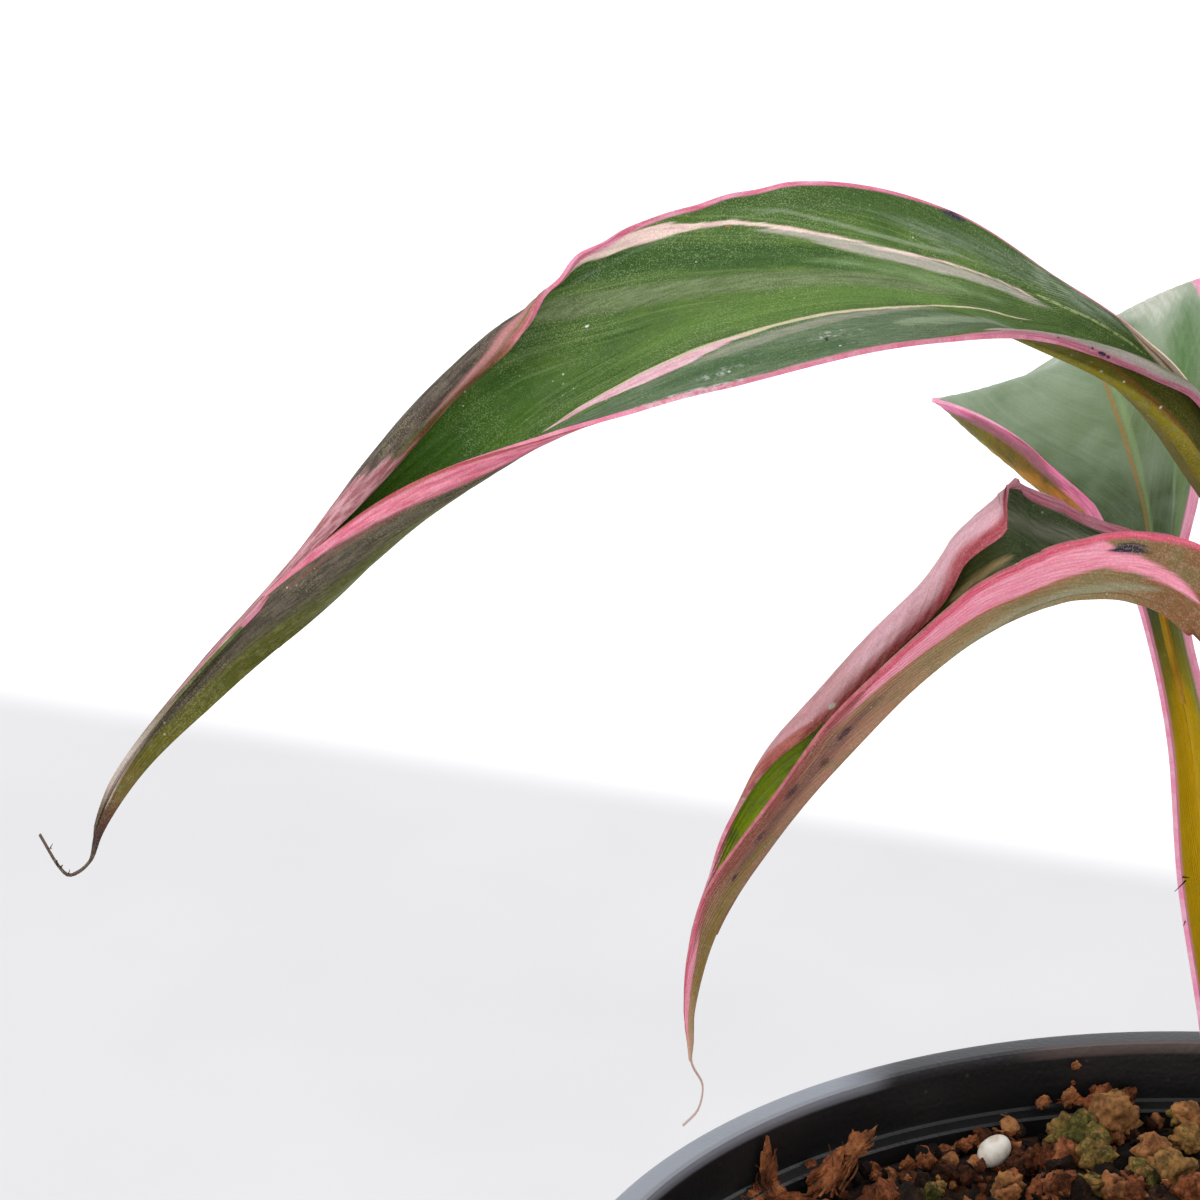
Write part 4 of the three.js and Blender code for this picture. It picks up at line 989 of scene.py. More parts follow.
def fullLeafTop(length, a, b):
    # the completed leaves repeat the large one's pattern: a and b are where its two stripes run
    return dict(
        roughness=0.45,
        body=alongLeaf(length, (-6, 128, 132, 66), (0.15, 84, 114, 52), (0.6, 78, 112, 46), (1, 66, 100, 34)),
        mottles=((0.16, 0.52, 0.1, 0.5, (104, 146, 62)), (0.3, 0.58, 0.06, 0.4, (62, 104, 50))),
        lines=3, speckle=(8.5, 0.56, 0.35, (158, 176, 128)), fine=0.28, veinColour=(138, 160, 112), bold=0.2,
        lineColour=(168, 184, 148),
        bands=(
            dict(colour=(108, 130, 102), second=(132, 150, 124), soft=0.04, fray=0.08, share=0.75,
                 points=alongLeaf(length, (0.1, 0.2, -0.05), (0.3, 0.2, 0.12), (0.6, 0.14, 0.1),
                                  (0.85, 0.1, -0.05))),
            dict(colour=(122, 140, 98), second=(148, 158, 126), soft=0.02, fray=0.05, share=0.75,
                 points=alongLeaf(length, (0.12, 0.6, -0.04), (0.35, 0.66, 0.05), (0.6, 0.76, 0.05),
                                  (0.8, 0.88, -0.04))),
            dict(colour=(240, 212, 190), second=(246, 190, 196), fray=0.03,
                 points=alongLeaf(length, (0.1, a - 0.26, -0.01), (0.25, a - 0.16, 0.01), (0.45, a, 0.014),
                                  (0.62, a + 0.1, 0.03), (0.75, a + 0.17, 0.02), (0.82, a + 0.22, -0.01))),
            dict(colour=(238, 156, 182), second=(232, 206, 178), fray=0.04,
                 points=alongLeaf(length, (0.15, b + 0.24, -0.01), (0.3, b + 0.12, 0.01), (0.5, b, 0.02),
                                  (0.66, b - 0.07, 0.035), (0.8, b - 0.12, -0.01))),
            dict(colour=(150, 164, 104), fray=0.01, share=0.7,
                 points=alongLeaf(length, (-6, 0.5, 0.02), (0.4, 0.5, 0.012), (1, 0.5, 0.012))),
            dict(colour=(228, 116, 148), second=(240, 158, 184), soft=0.15, fray=0.3, axis="edge",
                 points=alongLeaf(length, (-6, 0, 0.6), (0.5, 0, 0.5), (1, 0, 0.7))),
        ),
        shading=0.28, pepper=0.45, dust=(1.5, 0.26, 0.5), bump=0.09,
    )


def fullLeafUnder(length):
    return dict(
        roughness=0.5,
        body=alongLeaf(length, (-60, 172, 138, 66), (-8, 140, 116, 40), (0.3, 112, 112, 54),
                       (0.7, 104, 104, 62), (1, 108, 90, 66)),
        mottles=((0.5, 0.55, 0.08, 0.4, (76, 86, 38)), (0.28, 0.56, 0.08, 0.6, (124, 100, 92))),
        lines=3, speckle=(7.5, 0.55, 0.4, (150, 142, 112)), fine=0.3, veinColour=(150, 140, 96), bold=0.15,
        lineColour=(86, 88, 44),
        bands=(
            dict(colour=(150, 108, 54), second=(178, 136, 60), soft=0.03, fray=0.03, share=0.8,
                 points=alongLeaf(length, (-60, 0.5, 0.06), (0, 0.5, 0.04), (1, 0.5, 0.02))),
            dict(colour=(120, 100, 94), second=(146, 122, 114), soft=0.05, fray=0.12, share=0.85,
                 points=alongLeaf(length, (0.3, 0.1, -0.05), (0.7, 0.12, 0.1), (1, 0.15, 0.15))),
            dict(colour=(216, 104, 132), second=(236, 150, 172), soft=0.2, fray=0.4, axis="edge",
                 points=alongLeaf(length, (-60, 0, 0.5), (0.4, 0, 0.7), (0.8, 0, 1.1), (1, 0, 0.6))),
        ),
        shading=0.3, pepper=0.5, dust=(1.4, 0.22, 0.4), bump=0.1,
    )


def leafOneWaves(arcs, u, width):
    # the far margin buckles gently where the blade is widest
    reach = smoothStep((arcs - 31) / 4) * smoothStep((56 - arcs) / 4)
    sway = np.sin(arcs * fullTurn / 3.7 + 1.2) + 0.5 * np.sin(arcs * fullTurn / 6.1)
    return 0.2 * sway * reach * smoothStep((u - 0.62) / 0.38)


leafOne = {
    "heading": 180,
    "petiole": 5,
    "step": 0.45,
    "lines": 6,
    "waves": leafOneWaves,
    "thin": ((0, 16.5, 18, 21), (1, 1, 0.45, 0.4)),
    "veins": (
        (-1,
         (),
         ((12, 0.02), (17.9, 0.03), (20.7, 0.04), (24.3, 0.0577), (28.6, 0.125), (32.1, 0.163),
          (35.7, 0.192), (40.7, 0.2115), (46.4, 0.225), (51.4, 0.23), (55.7, 0.25), (64, 0.3), (78, 0.35),
          (95, 0.4))),
        (1,
         ((0, 0.47), (4.3, 0.44), (8.6, 0.4), (14.3, 0.346), (17.1, 0.25), (20.7, 0.135), (24.3, 0.058),
          (31.4, 0.02), (35.7, 0.06), (40, 0.115), (45.7, 0.21), (49.3, 0.27), (54.3, 0.33), (61.4, 0.36),
          (71, 0.4), (93, 0.45)),
         ((0, 0.02), (4.3, 0.03), (8.6, 0.045), (14.3, 0.058), (17.1, 0.08), (20.7, 0.115), (24.3, 0.146),
          (31.4, 0.198), (35.7, 0.23), (40, 0.26), (45.7, 0.28), (57, 0.28), (71, 0.25), (93, 0.2))),
    ),
    "stations": (
        (6.6, -3.7, 80, -115, 2.1, 0, 26, 0),
        (6.5, -3.8, 95, -112, 2.1, 5, 32, 0),
        (5.9, -4.3, 115, -103, 2.2, 25, 60, 0),
        (3.9, -5, 138, -90, 2.4, 35, 70, 0),
        (0.2, -6.2, 156, -75, 2.8, 35, 70, 0, 3, 35, 70, 0),
        (-7, -8, 170, -77, 4.3, 44, 92, -200, 7.9, 21, 142, 7),
        (-12.1, -9.5, 176.3, -45, 4.1, 15, 70, -240, 7.9, 1, 123, 12),
        (-18.8, -10, 180.1, -16, 4.4, 9, 40, -80, 7.8, 2, 70, 15),
        (-26.2, -10.5, 183.2, 6, 7.1, -2, 18, 7, 8.7, 4, 39, 5),
        (-34.3, -11, 184.2, 14, 9.2, 0, 11, 2, 9.4, 4, 34, -3),
        (-42.7, -12, 182.9, 15, 9.2, -4, 8, 2, 9.1, -3, 44, 5),
        (-49.5, -13.5, 180, 19, 8, -5, 13, 19, 8.1, 2, 70, 55),
        (-55.7, -15.5, 176.4, 27, 6.4, -3, 25, 56, 8.6, 21, 89, 170),
        (-61.3, -18, 171.4, 22, 8.3, 5, 69, 65, 8.4, 33, 102, 138),
        (-68, -20, 164.6, 17, 6.3, 14, 113, 43, 6.1, 30, 116, 60),
        (-75.2, -22, 158.4, 13, 3, 41, 116, 4, 4.3, 38, 129, 22),
        (-81, -23.5, 152.8, 12, 1.4, 46, 91, 0, 2.3, 45, 117, 2),
        (-84.2, -24, 147.9, 10, 0.7, 46, 60, -1, 1, 44, 79, -4),
        (-85.2, -24, 144.8, 10, 0.4, 20, 20, 0),
        (-86.7, -24, 143.6, 10, 0.3, 0, 0, 0),
        (-87.7, -24, 144.3, 10, 0.3, 0, 0, 0),
        (-89.05, -24, 146.85, 10, 0.3, 0, 0, 0),
    ),
}

leafTwo = {
    "heading": 180,
    "petiole": 4,
    "step": 0.4,
    "length": 74,
    "lines": 3,
    "pleat": 0.006,
    "thin": ((0, 19, 21, 24), (1, 1, 0.4, 0.35)),
    "stations": (
        (1.9, -3.3, 80, -55, 2.1, 0, 26, 0),
        (1.6, -3.7, 95, -55, 2.1, 5, 32, 0),
        (0.7, -5.2, 115, -50, 2.2, 25, 60, 0),
        (-0.8, -7.6, 138, -42, 2.6, 35, 70, 0),
        (-2.9, -10, 152, -30, 3.4, 38, 62, 0),
        (-7.9, -11.56, 159.3, -26, 5.6, 43, 51, 0, 6.1, 41, 45, -7),
        (-11.7, -12.39, 161.54, -26, 5.3, 44, 45, 0, 6.5, 33, 28, 14),
        (-15.3, -12.95, 161.93, -20, 5, 40, 37, 0, 8.7, 32, 18, 40),
        (-17.4, -13.19, 161.54, -16, 4.9, 38, 33, 0, 11.1, 36, 25, 71),
        (-18.5, -13.29, 161.18, -12, 4.9, 38, 30, 0, 12.2, 45, 78, 152),
        (-19.6, -13.39, 160.72, -16, 4.8, 34, 28, 0, 11.9, 36, 108, 145),
        (-21.3, -13.52, 159.81, -22, 4.6, 27, 26, 0, 11.8, 17, 130, 137),
        (-23.9, -13.68, 157.98, -26, 4.3, 18, 23, 0, 11.4, -3, 174, 144),
        (-27.42, -13.86, 154.69, -27, 4.1, 14, 23, 0, 10.7, -6, 204, 132),
        (-30.93, -14, 150.6, -25, 3.8, 16, 30, 0, 9.2, 3, 195, 126),
        (-34.48, -14, 146.1, -17, 3.5, 14, 29, 0, 7.4, 11, 137, 101),
        (-37.28, -13.5, 141.63, -16, 3.2, 15, 32, 0, 5.3, 14, 89, 88),
        (-39.71, -13.5, 137.39, -19, 2.6, 17, 38, 0, 3.5, 15, 53, 59),
        (-41.23, -13, 132.98, -12, 1.8, 20, 42, 0, 2.2, 24, 40, 26),
        (-42.15, -12.3, 127.6, -10, 0.8, 32, 50, 0),
        (-42.1, -12, 124.6, -8, 0.5, 30, 40, 0),
        (-42, -12, 122.9, 0, 0.3, 0, 0, 0),
        (-41.2, -12, 121.2, 0, 0.3, 0, 0, 0),
        (-41.5, -12, 119.1, 0, 0.3, 0, 0, 0),
        (-42.6, -12, 117.7, 0, 0.3, 0, 0, 0),
    ),
}

leafThree = {
    "heading": 98,
    "petiole": 5,
    "step": 0.5,
    "length": 66,
    "lines": 3,
    "thin": ((0, 15, 17), (1, 1, 0.4)),
    "stations": (
        (0.8, 3.3, 80, -47, 2.1, 0, 26, 0),
        (0.3, 3.3, 95, -44, 2.4, 5, 32, 0, 2.1, 5, 32, 0),
        (-2.1, 3.1, 118, -22, 2.9, 12, 36, 0, 2.1, 16, 46, 0),
        (-4.1, 3.8, 131.6, -8, 2.8, 12, 38, 0, 2.1, 16, 46, 0),
        (-5.5, 5.5, 141.7, 0, 2.3, 16, 44, 0, 2.1, 18, 46, 0),
        (-7.5, 7.5, 149.6, 5, 2.2, 22, 46, 0, 2.3, 22, 46, 0),
        (-8.6, 9.5, 154, 11, 3.5, 22.4, 37.4, 35.6, 3.3, 21, 40, 0),
        (-9.4, 11.8, 157.6, 16, 8.3, 18.3, 42.6, 111.5, 4.9, 10, 20, 0),
        (-10.6, 15, 160.7, 21, 11.7, 2.3, 31.4, 134, 7.4, 4, 10, 0),
        (-11.8, 20, 162.7, 21, 13.8, 5, 6.5, 78.6, 9.2, 2.2, 1.1, 0),
        (-12.8, 26, 163.2, 24, 11.9, 12.1, -5.3, 7.4, 10.2, 2.1, -11.1, 0),
        (-13.5, 33, 161.6, 21, 10.7, -23.8, 21.1, 47.2, 10.7, 13.3, -17.8, 0),
        (-13.3, 41, 157.5, 20, 8.4, -3, -12, -5, 9, -6, -15, 0),
        (-12.6, 47.5, 152.4, 16, 6.8, 0, 0, 0, 7.2, 0, 0, 0),
        (-11.7, 52, 147, 10, 4.6, 10, 20, 0, 4.8, 10, 20, 0),
        (-10.9, 54.5, 142.8, 5, 2, 20, 40, 0),
        (-10.4, 55.5, 140.6, 0, 0.4, 10, 20, 0),
        (-10, 55.5, 139.3, 0, 0.3, 0, 0, 0),
    ),
}

leafFour = {
    "heading": 0,
    "petiole": 4,
    "step": 0.6,
    "length": 110,
    "lines": 3,
    "thin": ((0, 13, 15), (1, 1, 0.4)),
    "stations": (
        (9.3, 0.6, 80, 0, 2.1, 0, 26, 0),
        (9.4, 0.6, 95, 0, 2.1, 5, 32, 0),
        (10.2, 0.4, 112, 0, 2.2, 25, 60, 0),
        (12, 0, 130, -4, 2.4, 32, 62, 0),
        (16, -1, 147, -8, 3.0, 30, 55, 0),
        (23, -2.5, 160, -10, 4.8, 24, 40, 0),
        (33, -4.5, 169, -12, 7.8, 14, 26, 0, 7.6, 14, 24, 0),
        (45, -6.5, 173, -14, 10.0, 8, 18, 0, 9.8, 8, 14, 10),
        (57, -8.5, 171.5, -14, 10.6, 6, 14, 10, 10.4, 4, 14, 0),
        (69, -10.5, 165.5, -12, 9.6, 8, 20, 15, 9.4, 6, 18, 0),
        (80, -12, 156, -8, 7.4, 12, 30, 20, 7.2, 10, 30, 10),
        (89, -13, 145, -4, 4.6, 20, 50, 20, 4.4, 20, 40, 10),
        (95, -13.5, 135, 0, 2.2, 30, 60, 0),
        (98, -13.6, 128, 0, 0.7, 25, 50, 0),
        (98.6, -13.6, 124, 0, 0.3, 0, 0, 0),
        (100.6, -13.6, 121, 0, 0.3, 0, 0, 0),
    ),
}

leafFive = {
    "heading": 60,
    "petiole": 4,
    "step": 0.6,
    "length": 75,
    "lines": 3,
    "thin": ((0, 11.5, 13), (1, 1, 0.4)),
    "stations": (
        (5.4, 5.2, 80, -20, 2.1, 0, 26, 0),
        (5.5, 5.4, 95, -20, 2.1, 5, 32, 0),
        (5.9, 6.2, 113, -16, 2.2, 25, 60, 0),
        (6.9, 7.6, 136, -10, 2.4, 32, 60, 0),
        (8.7, 9.6, 158, -4, 3.0, 30, 50, 0),
        (11, 13, 176, 0, 5.0, 25, 36, 0, 5.2, 25, 34, 0),
        (14.5, 19, 190, 4, 7.8, 18, 24, 0, 8.0, 16, 24, 0),
        (19, 27, 199, 6, 9.4, 12, 20, 0, 9.4, 10, 18, 10),
        (24, 36, 203, 6, 9.2, 8, 20, 10, 9.0, 8, 18, 10),
        (29, 45, 202, 4, 7.2, 12, 24, 10, 7.2, 10, 22, 0),
        (33.5, 53, 197, 2, 4.4, 18, 34, 0, 4.4, 16, 30, 0),
        (36.5, 58.5, 190.5, 0, 1.8, 25, 40, 0),
        (37.8, 61, 186, 0, 0.5, 15, 20, 0),
        (38, 62, 182.5, 0, 0.3, 0, 0, 0),
    ),
}
leaves = (
    ("One", leafOne, "leaf", leafOneTop, leafOneUnder),
    ("Two", leafTwo, "leaf_lower", leafTwoTop, leafTwoUnder),
    ("Three", leafThree, "leaf", leafThreeTop, leafThreeUnder),
    ("Four", leafFour, "leaf", fullLeafTop(110, 0.74, 0.3), fullLeafUnder(110)),
    ("Five", leafFive, "leaf", fullLeafTop(75, 0.7, 0.26), fullLeafUnder(75)),
)
for number, (word, leaf, slot, top, under) in enumerate(leaves, 1):
    faces = leafMaterial(f"leaf{word}Face", top), leafMaterial(f"leaf{word}Back", under)
    dress(makeLeafBlade(f"leaf{word}Blade", leaf, *faces), f"leaf_{number}")


# Rolled young leaf
spearShape = {
    "path": ((4.6, 0.6, 106, 1.7), (4.6, 0.6, 112.4, 2.0), (4.9, 0.5, 126, 2.4), (5.5, 0.2, 144, 2.45),
             (6.4, -0.4, 162, 2.15), (7.8, -1.2, 179, 1.45), (9, -2, 191, 0.65), (9.5, -2.4, 197, 0.2)),
    "turns": 1.55,
    "columns": 72,
    "rows": 150,
    "thickness": 0.28,
    "smooth": 60,
}


def makeSpear(material):
    settings = spearShape
    columns, rows = settings["columns"], settings["rows"]
    path = splineRows(settings["path"], np.linspace(0, len(settings["path"]) - 1, rows + 1))
    x, y, z, size = (path[:, k:k + 1] for k in range(4))
    share = np.linspace(0, 1, columns + 1)
    height = np.linspace(0, 1, rows + 1)[:, None]
    angle = 0.9 - 2.4 * height + share * fullTurn * settings["turns"]
    radius = size * (0.56 + 0.42 * share)
    points = np.stack([x + radius * np.cos(angle), y + radius * np.sin(angle), z + 0 * angle], 2)
    across = np.broadcast_to(share, angle.shape)
    arcs = np.broadcast_to(z - z[0], angle.shape)
    length = radius * fullTurn * settings["turns"]
    measures = {
        "edgeDistance": np.minimum(across, 1 - across) * length,
        "midDistance": (across - 0.5) * length,
        "veinPhase": across * 9 + arcs * 0.02,
    }
    piece, _, _ = makeSheet("spearLeafRoll", points, arcs, across, measures)
    thicken(piece, settings["thickness"])
    return finishPiece(piece, settings["smooth"], material)


dress(makeSpear(leafMaterial("youngLeafRoll", spearUnder)), "spear_leaf")


# Pseudostem: overlapping sheaths round a core
stemShape = {
    "place": (4.6, 0.6),
    "profile": ((0.6, 75), (3.4, 75.2), (3.9, 80), (4.0, 86), (3.95, 92), (3.75, 98), (3.4, 104),
                (2.95, 109), (2.35, 111.7), (1.6, 112)),
    "sides": 48,
    "step": 1.5,
    "sheaths": 3,
    "ridge": 0.03,
    "ribs": 24,
    "smooth": 50,
}


def makeStemMaterial():
    material, tree, shader = newMaterial("stemSheath", 0.45)
    spot = objectPlace(tree)
    x, y, z = split(spot)
    centreX, centreY = stemShape["place"]
    turn = (y - centreY).calc("ARCTAN2", x - centreX)
    fibres = grain(combine(turn * 14, z * 0.12), 1.0, 4.0, 0.65)
    level = (z - 80).calc("DIVIDE", 32, clamp=True)
    colour = ramp(level, [(0, 120, 70, 44), (0.3, 156, 96, 66), (0.6, 150, 128, 64), (1, 150, 146, 70)])
    colour = blend(remap(fibres, 0.4, 0.62) * 0.6, colour, (196, 120, 116))
    feed(shader["Base Color"], blend(blotches(spot, 0.9, 0.6) * 0.6, colour, (86, 52, 40)))
    addBump(shader, fibres, 0.12)
    return material


def makeStem(material):
    settings = stemShape
    x, y = settings["place"]
    (radius, height), *others = settings["profile"]
    deselectAll()
    bpy.ops.mesh.primitive_circle_add(vertices=settings["sides"], radius=radius * mm, fill_type="NGON",
                                      location=(x * mm, y * mm, height * mm))
    piece = namePiece("stemSheaths")
    editAll(piece)
    for nextRadius, nextHeight in others:
        steps = max(1, round((nextHeight - height) / settings["step"]))
        widen, rise = (nextRadius - radius) / steps, (nextHeight - height) / steps
        for k in range(steps):
            grown = (radius + widen * (k + 1)) / (radius + widen * k)
            level = height + rise * (k + 1)
            drawOut((0, 0, rise * mm), (grown, grown, 1), (x * mm, y * mm, level * mm))
        radius, height = nextRadius, nextHeight
    closeEdit()
    applyPlace(piece)
    points = readPoints(piece) / mm
    out = points[:, :2] - np.array([x, y])
    angle = np.arctan2(out[:, 1], out[:, 0])
    turn = settings["sheaths"] * angle + 0.06 * points[:, 2]
    overlap = (turn / fullTurn) % 1
    scale = 0.965 + settings["ridge"] * overlap ** 3 + 0.004 * np.sin(angle * settings["ribs"])
    points[:, :2] = np.array([x, y]) + out * scale[:, None]
    writePoints(piece, points * mm)
    return finishPiece(piece, settings["smooth"], material)


dress(makeStem(makeStemMaterial()), "pseudostem")


# Nursery pot: a disc drawn out through its profile, up the outside and down the inside
potShape = {
    "sides": 192,
    "start": 34.0,
    "profile": ((37.6, 0), (38.3, 0.25), (38.6, 0.8), (38.75, 2.0), (49.65, 82.6), (49.8, 83.4),
                (50.2, 84.0), (50.8, 84.2), (52.3, 84.2), (52.8, 84.4), (53.0, 84.9), (53.0, 91.2),
                (52.85, 91.8), (52.5, 92.15), (52.0, 92.25), (50.75, 92.25), (50.45, 92.1), (50.3, 91.55),
                (50.15, 87.2), (49.95, 86.98), (48.85, 86.9), (48.65, 86.7), (48.6, 86.0), (37.65, 3.2),
                (37.3, 2.5), (36.6, 2.2), (33, 2.2)),
    "holes": 6,
    "holeRing": 28,
    "holeRadius": 4,
    "drillHeight": 1,
    "drillDepth": 8,
    "smooth": 25,
}
# where the rim carries a painted sheen and its lip painted highlights: heights, radii and spans of x
rimSheen = {
    "landHeights": (91.5, 91.9),
    "lipHeights": (91.1, 91.5),
    "lipRadii": (50.9, 50.6),
    "sheenSpan": (-24, -31),
    "brownHighlightSpan": (-16, -11),
    "paleSheenSpan": (-24.5, -27.5),
}


def makePotMaterial():
    # satin injection-moulded black with faint turning marks, scuffs and dust, with a painted sheen on the rim
    # and painted highlights on its lip
    material, tree, shader = newMaterial("blackPot", 0.36)
    spot = objectPlace(tree)
    x, y, z = split(spot)
    scuffs = grain(combine(x * 0.12, y * 0.12, z * 1.6), 1.0, 4.0, 0.6)
    colour = blend(blotches(spot, 0.07, 0.55, 0.14) * 0.35, (20, 21, 24), (44, 44, 46))
    colour = blend(flecks(spot, 0.9, 0.22) * 0.25, colour, (96, 88, 80))
    # painted sheen on the rim land, broken up by the scuffs
    landSheen = remap(z, *rimSheen["landHeights"]) * scuffs.timesPlus(0.5, 0.65)
    sheenSide = remap(x, *rimSheen["sheenSpan"], 0.15, 1.15)  # painted sheen: the left side of the rim is paler
    colour = blend(landSheen.calc("MULTIPLY", sheenSide, clamp=True), colour, (150, 155, 167))
    radius = (x * x + y * y).calc("SQRT")
    lip = remap(radius, *rimSheen["lipRadii"]) * remap(z, *rimSheen["lipHeights"])
    # painted highlights on the inner lip: brownish toward the right, pale grey toward the left
    lipHighlightColour = blend(remap(x, *rimSheen["brownHighlightSpan"]), (40, 38, 42), (106, 90, 86))
    lipHighlightColour = blend(remap(x, *rimSheen["paleSheenSpan"]), lipHighlightColour, (134, 136, 146))
    feed(shader["Base Color"], blend(lip * 0.7, colour, lipHighlightColour))
    feed(shader["Roughness"], scuffs.timesPlus(0.22, 0.24))
    addBump(shader, scuffs.timesPlus(0.5, grain(spot, 2.2)), 0.05)
    return material


def makePot(material):
    settings = potShape
    radius, height = settings["start"], 0
    deselectAll()
    bpy.ops.mesh.primitive_circle_add(vertices=settings["sides"], radius=radius * mm, fill_type="NGON")
    piece = namePiece("nurseryPot")
    editAll(piece)
    for nextRadius, nextHeight in settings["profile"]:
        grown = nextRadius / radius
        drawOut((0, 0, (nextHeight - height) * mm), (grown, grown, 1), (0, 0, nextHeight * mm))
        radius, height = nextRadius, nextHeight
    closeEdit()
    drills = []
    for k in range(settings["holes"]):
        angle = k / settings["holes"] * fullTurn
        spot = Vector((math.cos(angle), math.sin(angle), 0)) * settings["holeRing"]
        spot.z = settings["drillHeight"]
        bpy.ops.mesh.primitive_cylinder_add(vertices=48, radius=settings["holeRadius"] * mm,
                                            depth=settings["drillDepth"] * mm, location=spot * mm)
        drills.append(bpy.context.object)
    cutter = joinPieces(drills, "holeCutter")
    applyPlace(cutter)
    cut = piece.modifiers.new("drainHoles", "BOOLEAN")
    cut.operation = "DIFFERENCE"
    cut.solver = "EXACT"
    cut.object = cutter
    finishPiece(piece, settings["smooth"], material)
    bpy.data.objects.remove(cutter)
    return piece


dress(makePot(makePotMaterial()), "pot")


# Soil: a rough crust with crumbs, bark chips, fibres and one pale bead
soilShape = {
    "radius": 48.25,
    "footRadius": 37.0,
    "foot": 4.0,
    "level": 86,
    "edgeDrop": 0.6,
    "edgeStart": 0.9,
    "grid": 150,
    "smooth": 80,
    "seed": 18,
}


def soilHeight(x, y):
    waves = (0.6 * math.sin(0.31 * x + 0.9) * math.cos(0.27 * y - 0.4)
             + 0.5 * math.sin(0.62 * x - 0.5 * y + 2.1) + 0.35 * math.cos(0.93 * y + 0.6 * x))
    fine = (0.55 * noise.noise((x * 0.45, y * 0.45, 3.1)) + 0.45 * noise.noise((x * 1.1, y * 1.1, 7.7))
            + 0.25 * noise.noise((x * 2.6, y * 2.6, 1.3)))
    return soilShape["level"] + waves + fine


def makeSoilMaterial():
    # damp peat: near-black with brown and orange-brown crumbs
    material, tree, shader = newMaterial("dampPeat", 0.85, 0.25)
    dark = (20, 15, 13)
    spot = objectPlace(tree)
    crumbs = grain(spot, 0.9, 5.0, 0.7)
    colour = ramp(crumbs, [(0.34, *dark), (0.52, 52, 34, 22), (0.68, 104, 62, 34)])
    feed(shader["Base Color"], blend(remap(grain(spot, 0.27), 0.62, 0.4), colour, dark))
    addBump(shader, crumbs, 0.5)
    return material


def makeSoilCrust(material):
    settings = soilShape
    radius, foot = settings["radius"], settings["foot"]
    deselectAll()
    bpy.ops.mesh.primitive_grid_add(x_subdivisions=settings["grid"], y_subdivisions=settings["grid"], size=2)
    piece = namePiece("soilCrust")
    points = readPoints(piece)
    x = points[:, 0] * np.sqrt(1 - points[:, 1] ** 2 / 2)
    y = points[:, 1] * np.sqrt(1 - points[:, 0] ** 2 / 2)
    heights = np.array([soilHeight(a * radius, b * radius) for a, b in zip(x, y)])
    edge = smoothStep((np.hypot(x, y) - settings["edgeStart"]) / (1 - settings["edgeStart"]))
    edgeHeight = settings["level"] - settings["edgeDrop"]
    heights = heights * (1 - edge) + edgeHeight * edge
    writePoints(piece, np.stack([x * radius, y * radius, heights], 1) * mm)
    editAll(piece)
    bpy.ops.mesh.select_all(action="DESELECT")
    bpy.ops.mesh.select_non_manifold(extend=False, use_boundary=True, use_wire=False, use_multi_face=False,
                                     use_non_contiguous=False, use_verts=False)
    share = settings["footRadius"] / radius
    drawOut((0, 0, (foot - edgeHeight) * mm), (share, share, 1), (0, 0, foot * mm))
    bpy.ops.mesh.edge_face_add()
    closeEdit()
    return finishPiece(piece, settings["smooth"], material)


dress(makeSoilCrust(makeSoilMaterial()), "soil")


# Loose bits on the crust: each kind is modelled a few times and copied
crumbShape = {
    "count": 1900,
    "extra": 160,  # the picture's part of the soil is crumblier
    "extraColumns": (860, 1200),
    "extraRows": (1118, 1200),
    "extraHeight": 86.6,
    "reach": 47.2,
    "size": (0.22, 1.0),
    "squash": 0.75,
    "brownShare": 0.46,
    "brownTones": (0.4, 0.74),
    "darkTones": (0, 0.34),
    "smooth": 50,
}
barkShape = {
    "count": 120,
    "reach": 45.5,
    "size": (0.5, 1.4),
    "squash": 0.5,
    "tones": (0.25, 0.85),
    "smooth": 35,
}
fibreShape = {
    "count": 150,
    "reach": 42,
    "length": 6.0,
    "thick": 0.16,
    "rings": 7,
    "tones": (0.4, 0.9),
    "smooth": 80,
}
beadShape = {
    "place": (-16.8, 40.9),
    "raised": 1.2,
    "radii": (1.55, 1.2, 1.15),
    "turn": (0, -0.5, 0.6),
    "smooth": 80,
}
# a lump past the split size is made of several parts
lumpShape = {
    "split": 1,
    "spread": 0.55,
    "partSize": (0.55, 0.9),
    "squash": 0.8,
    "smooth": 80,
}
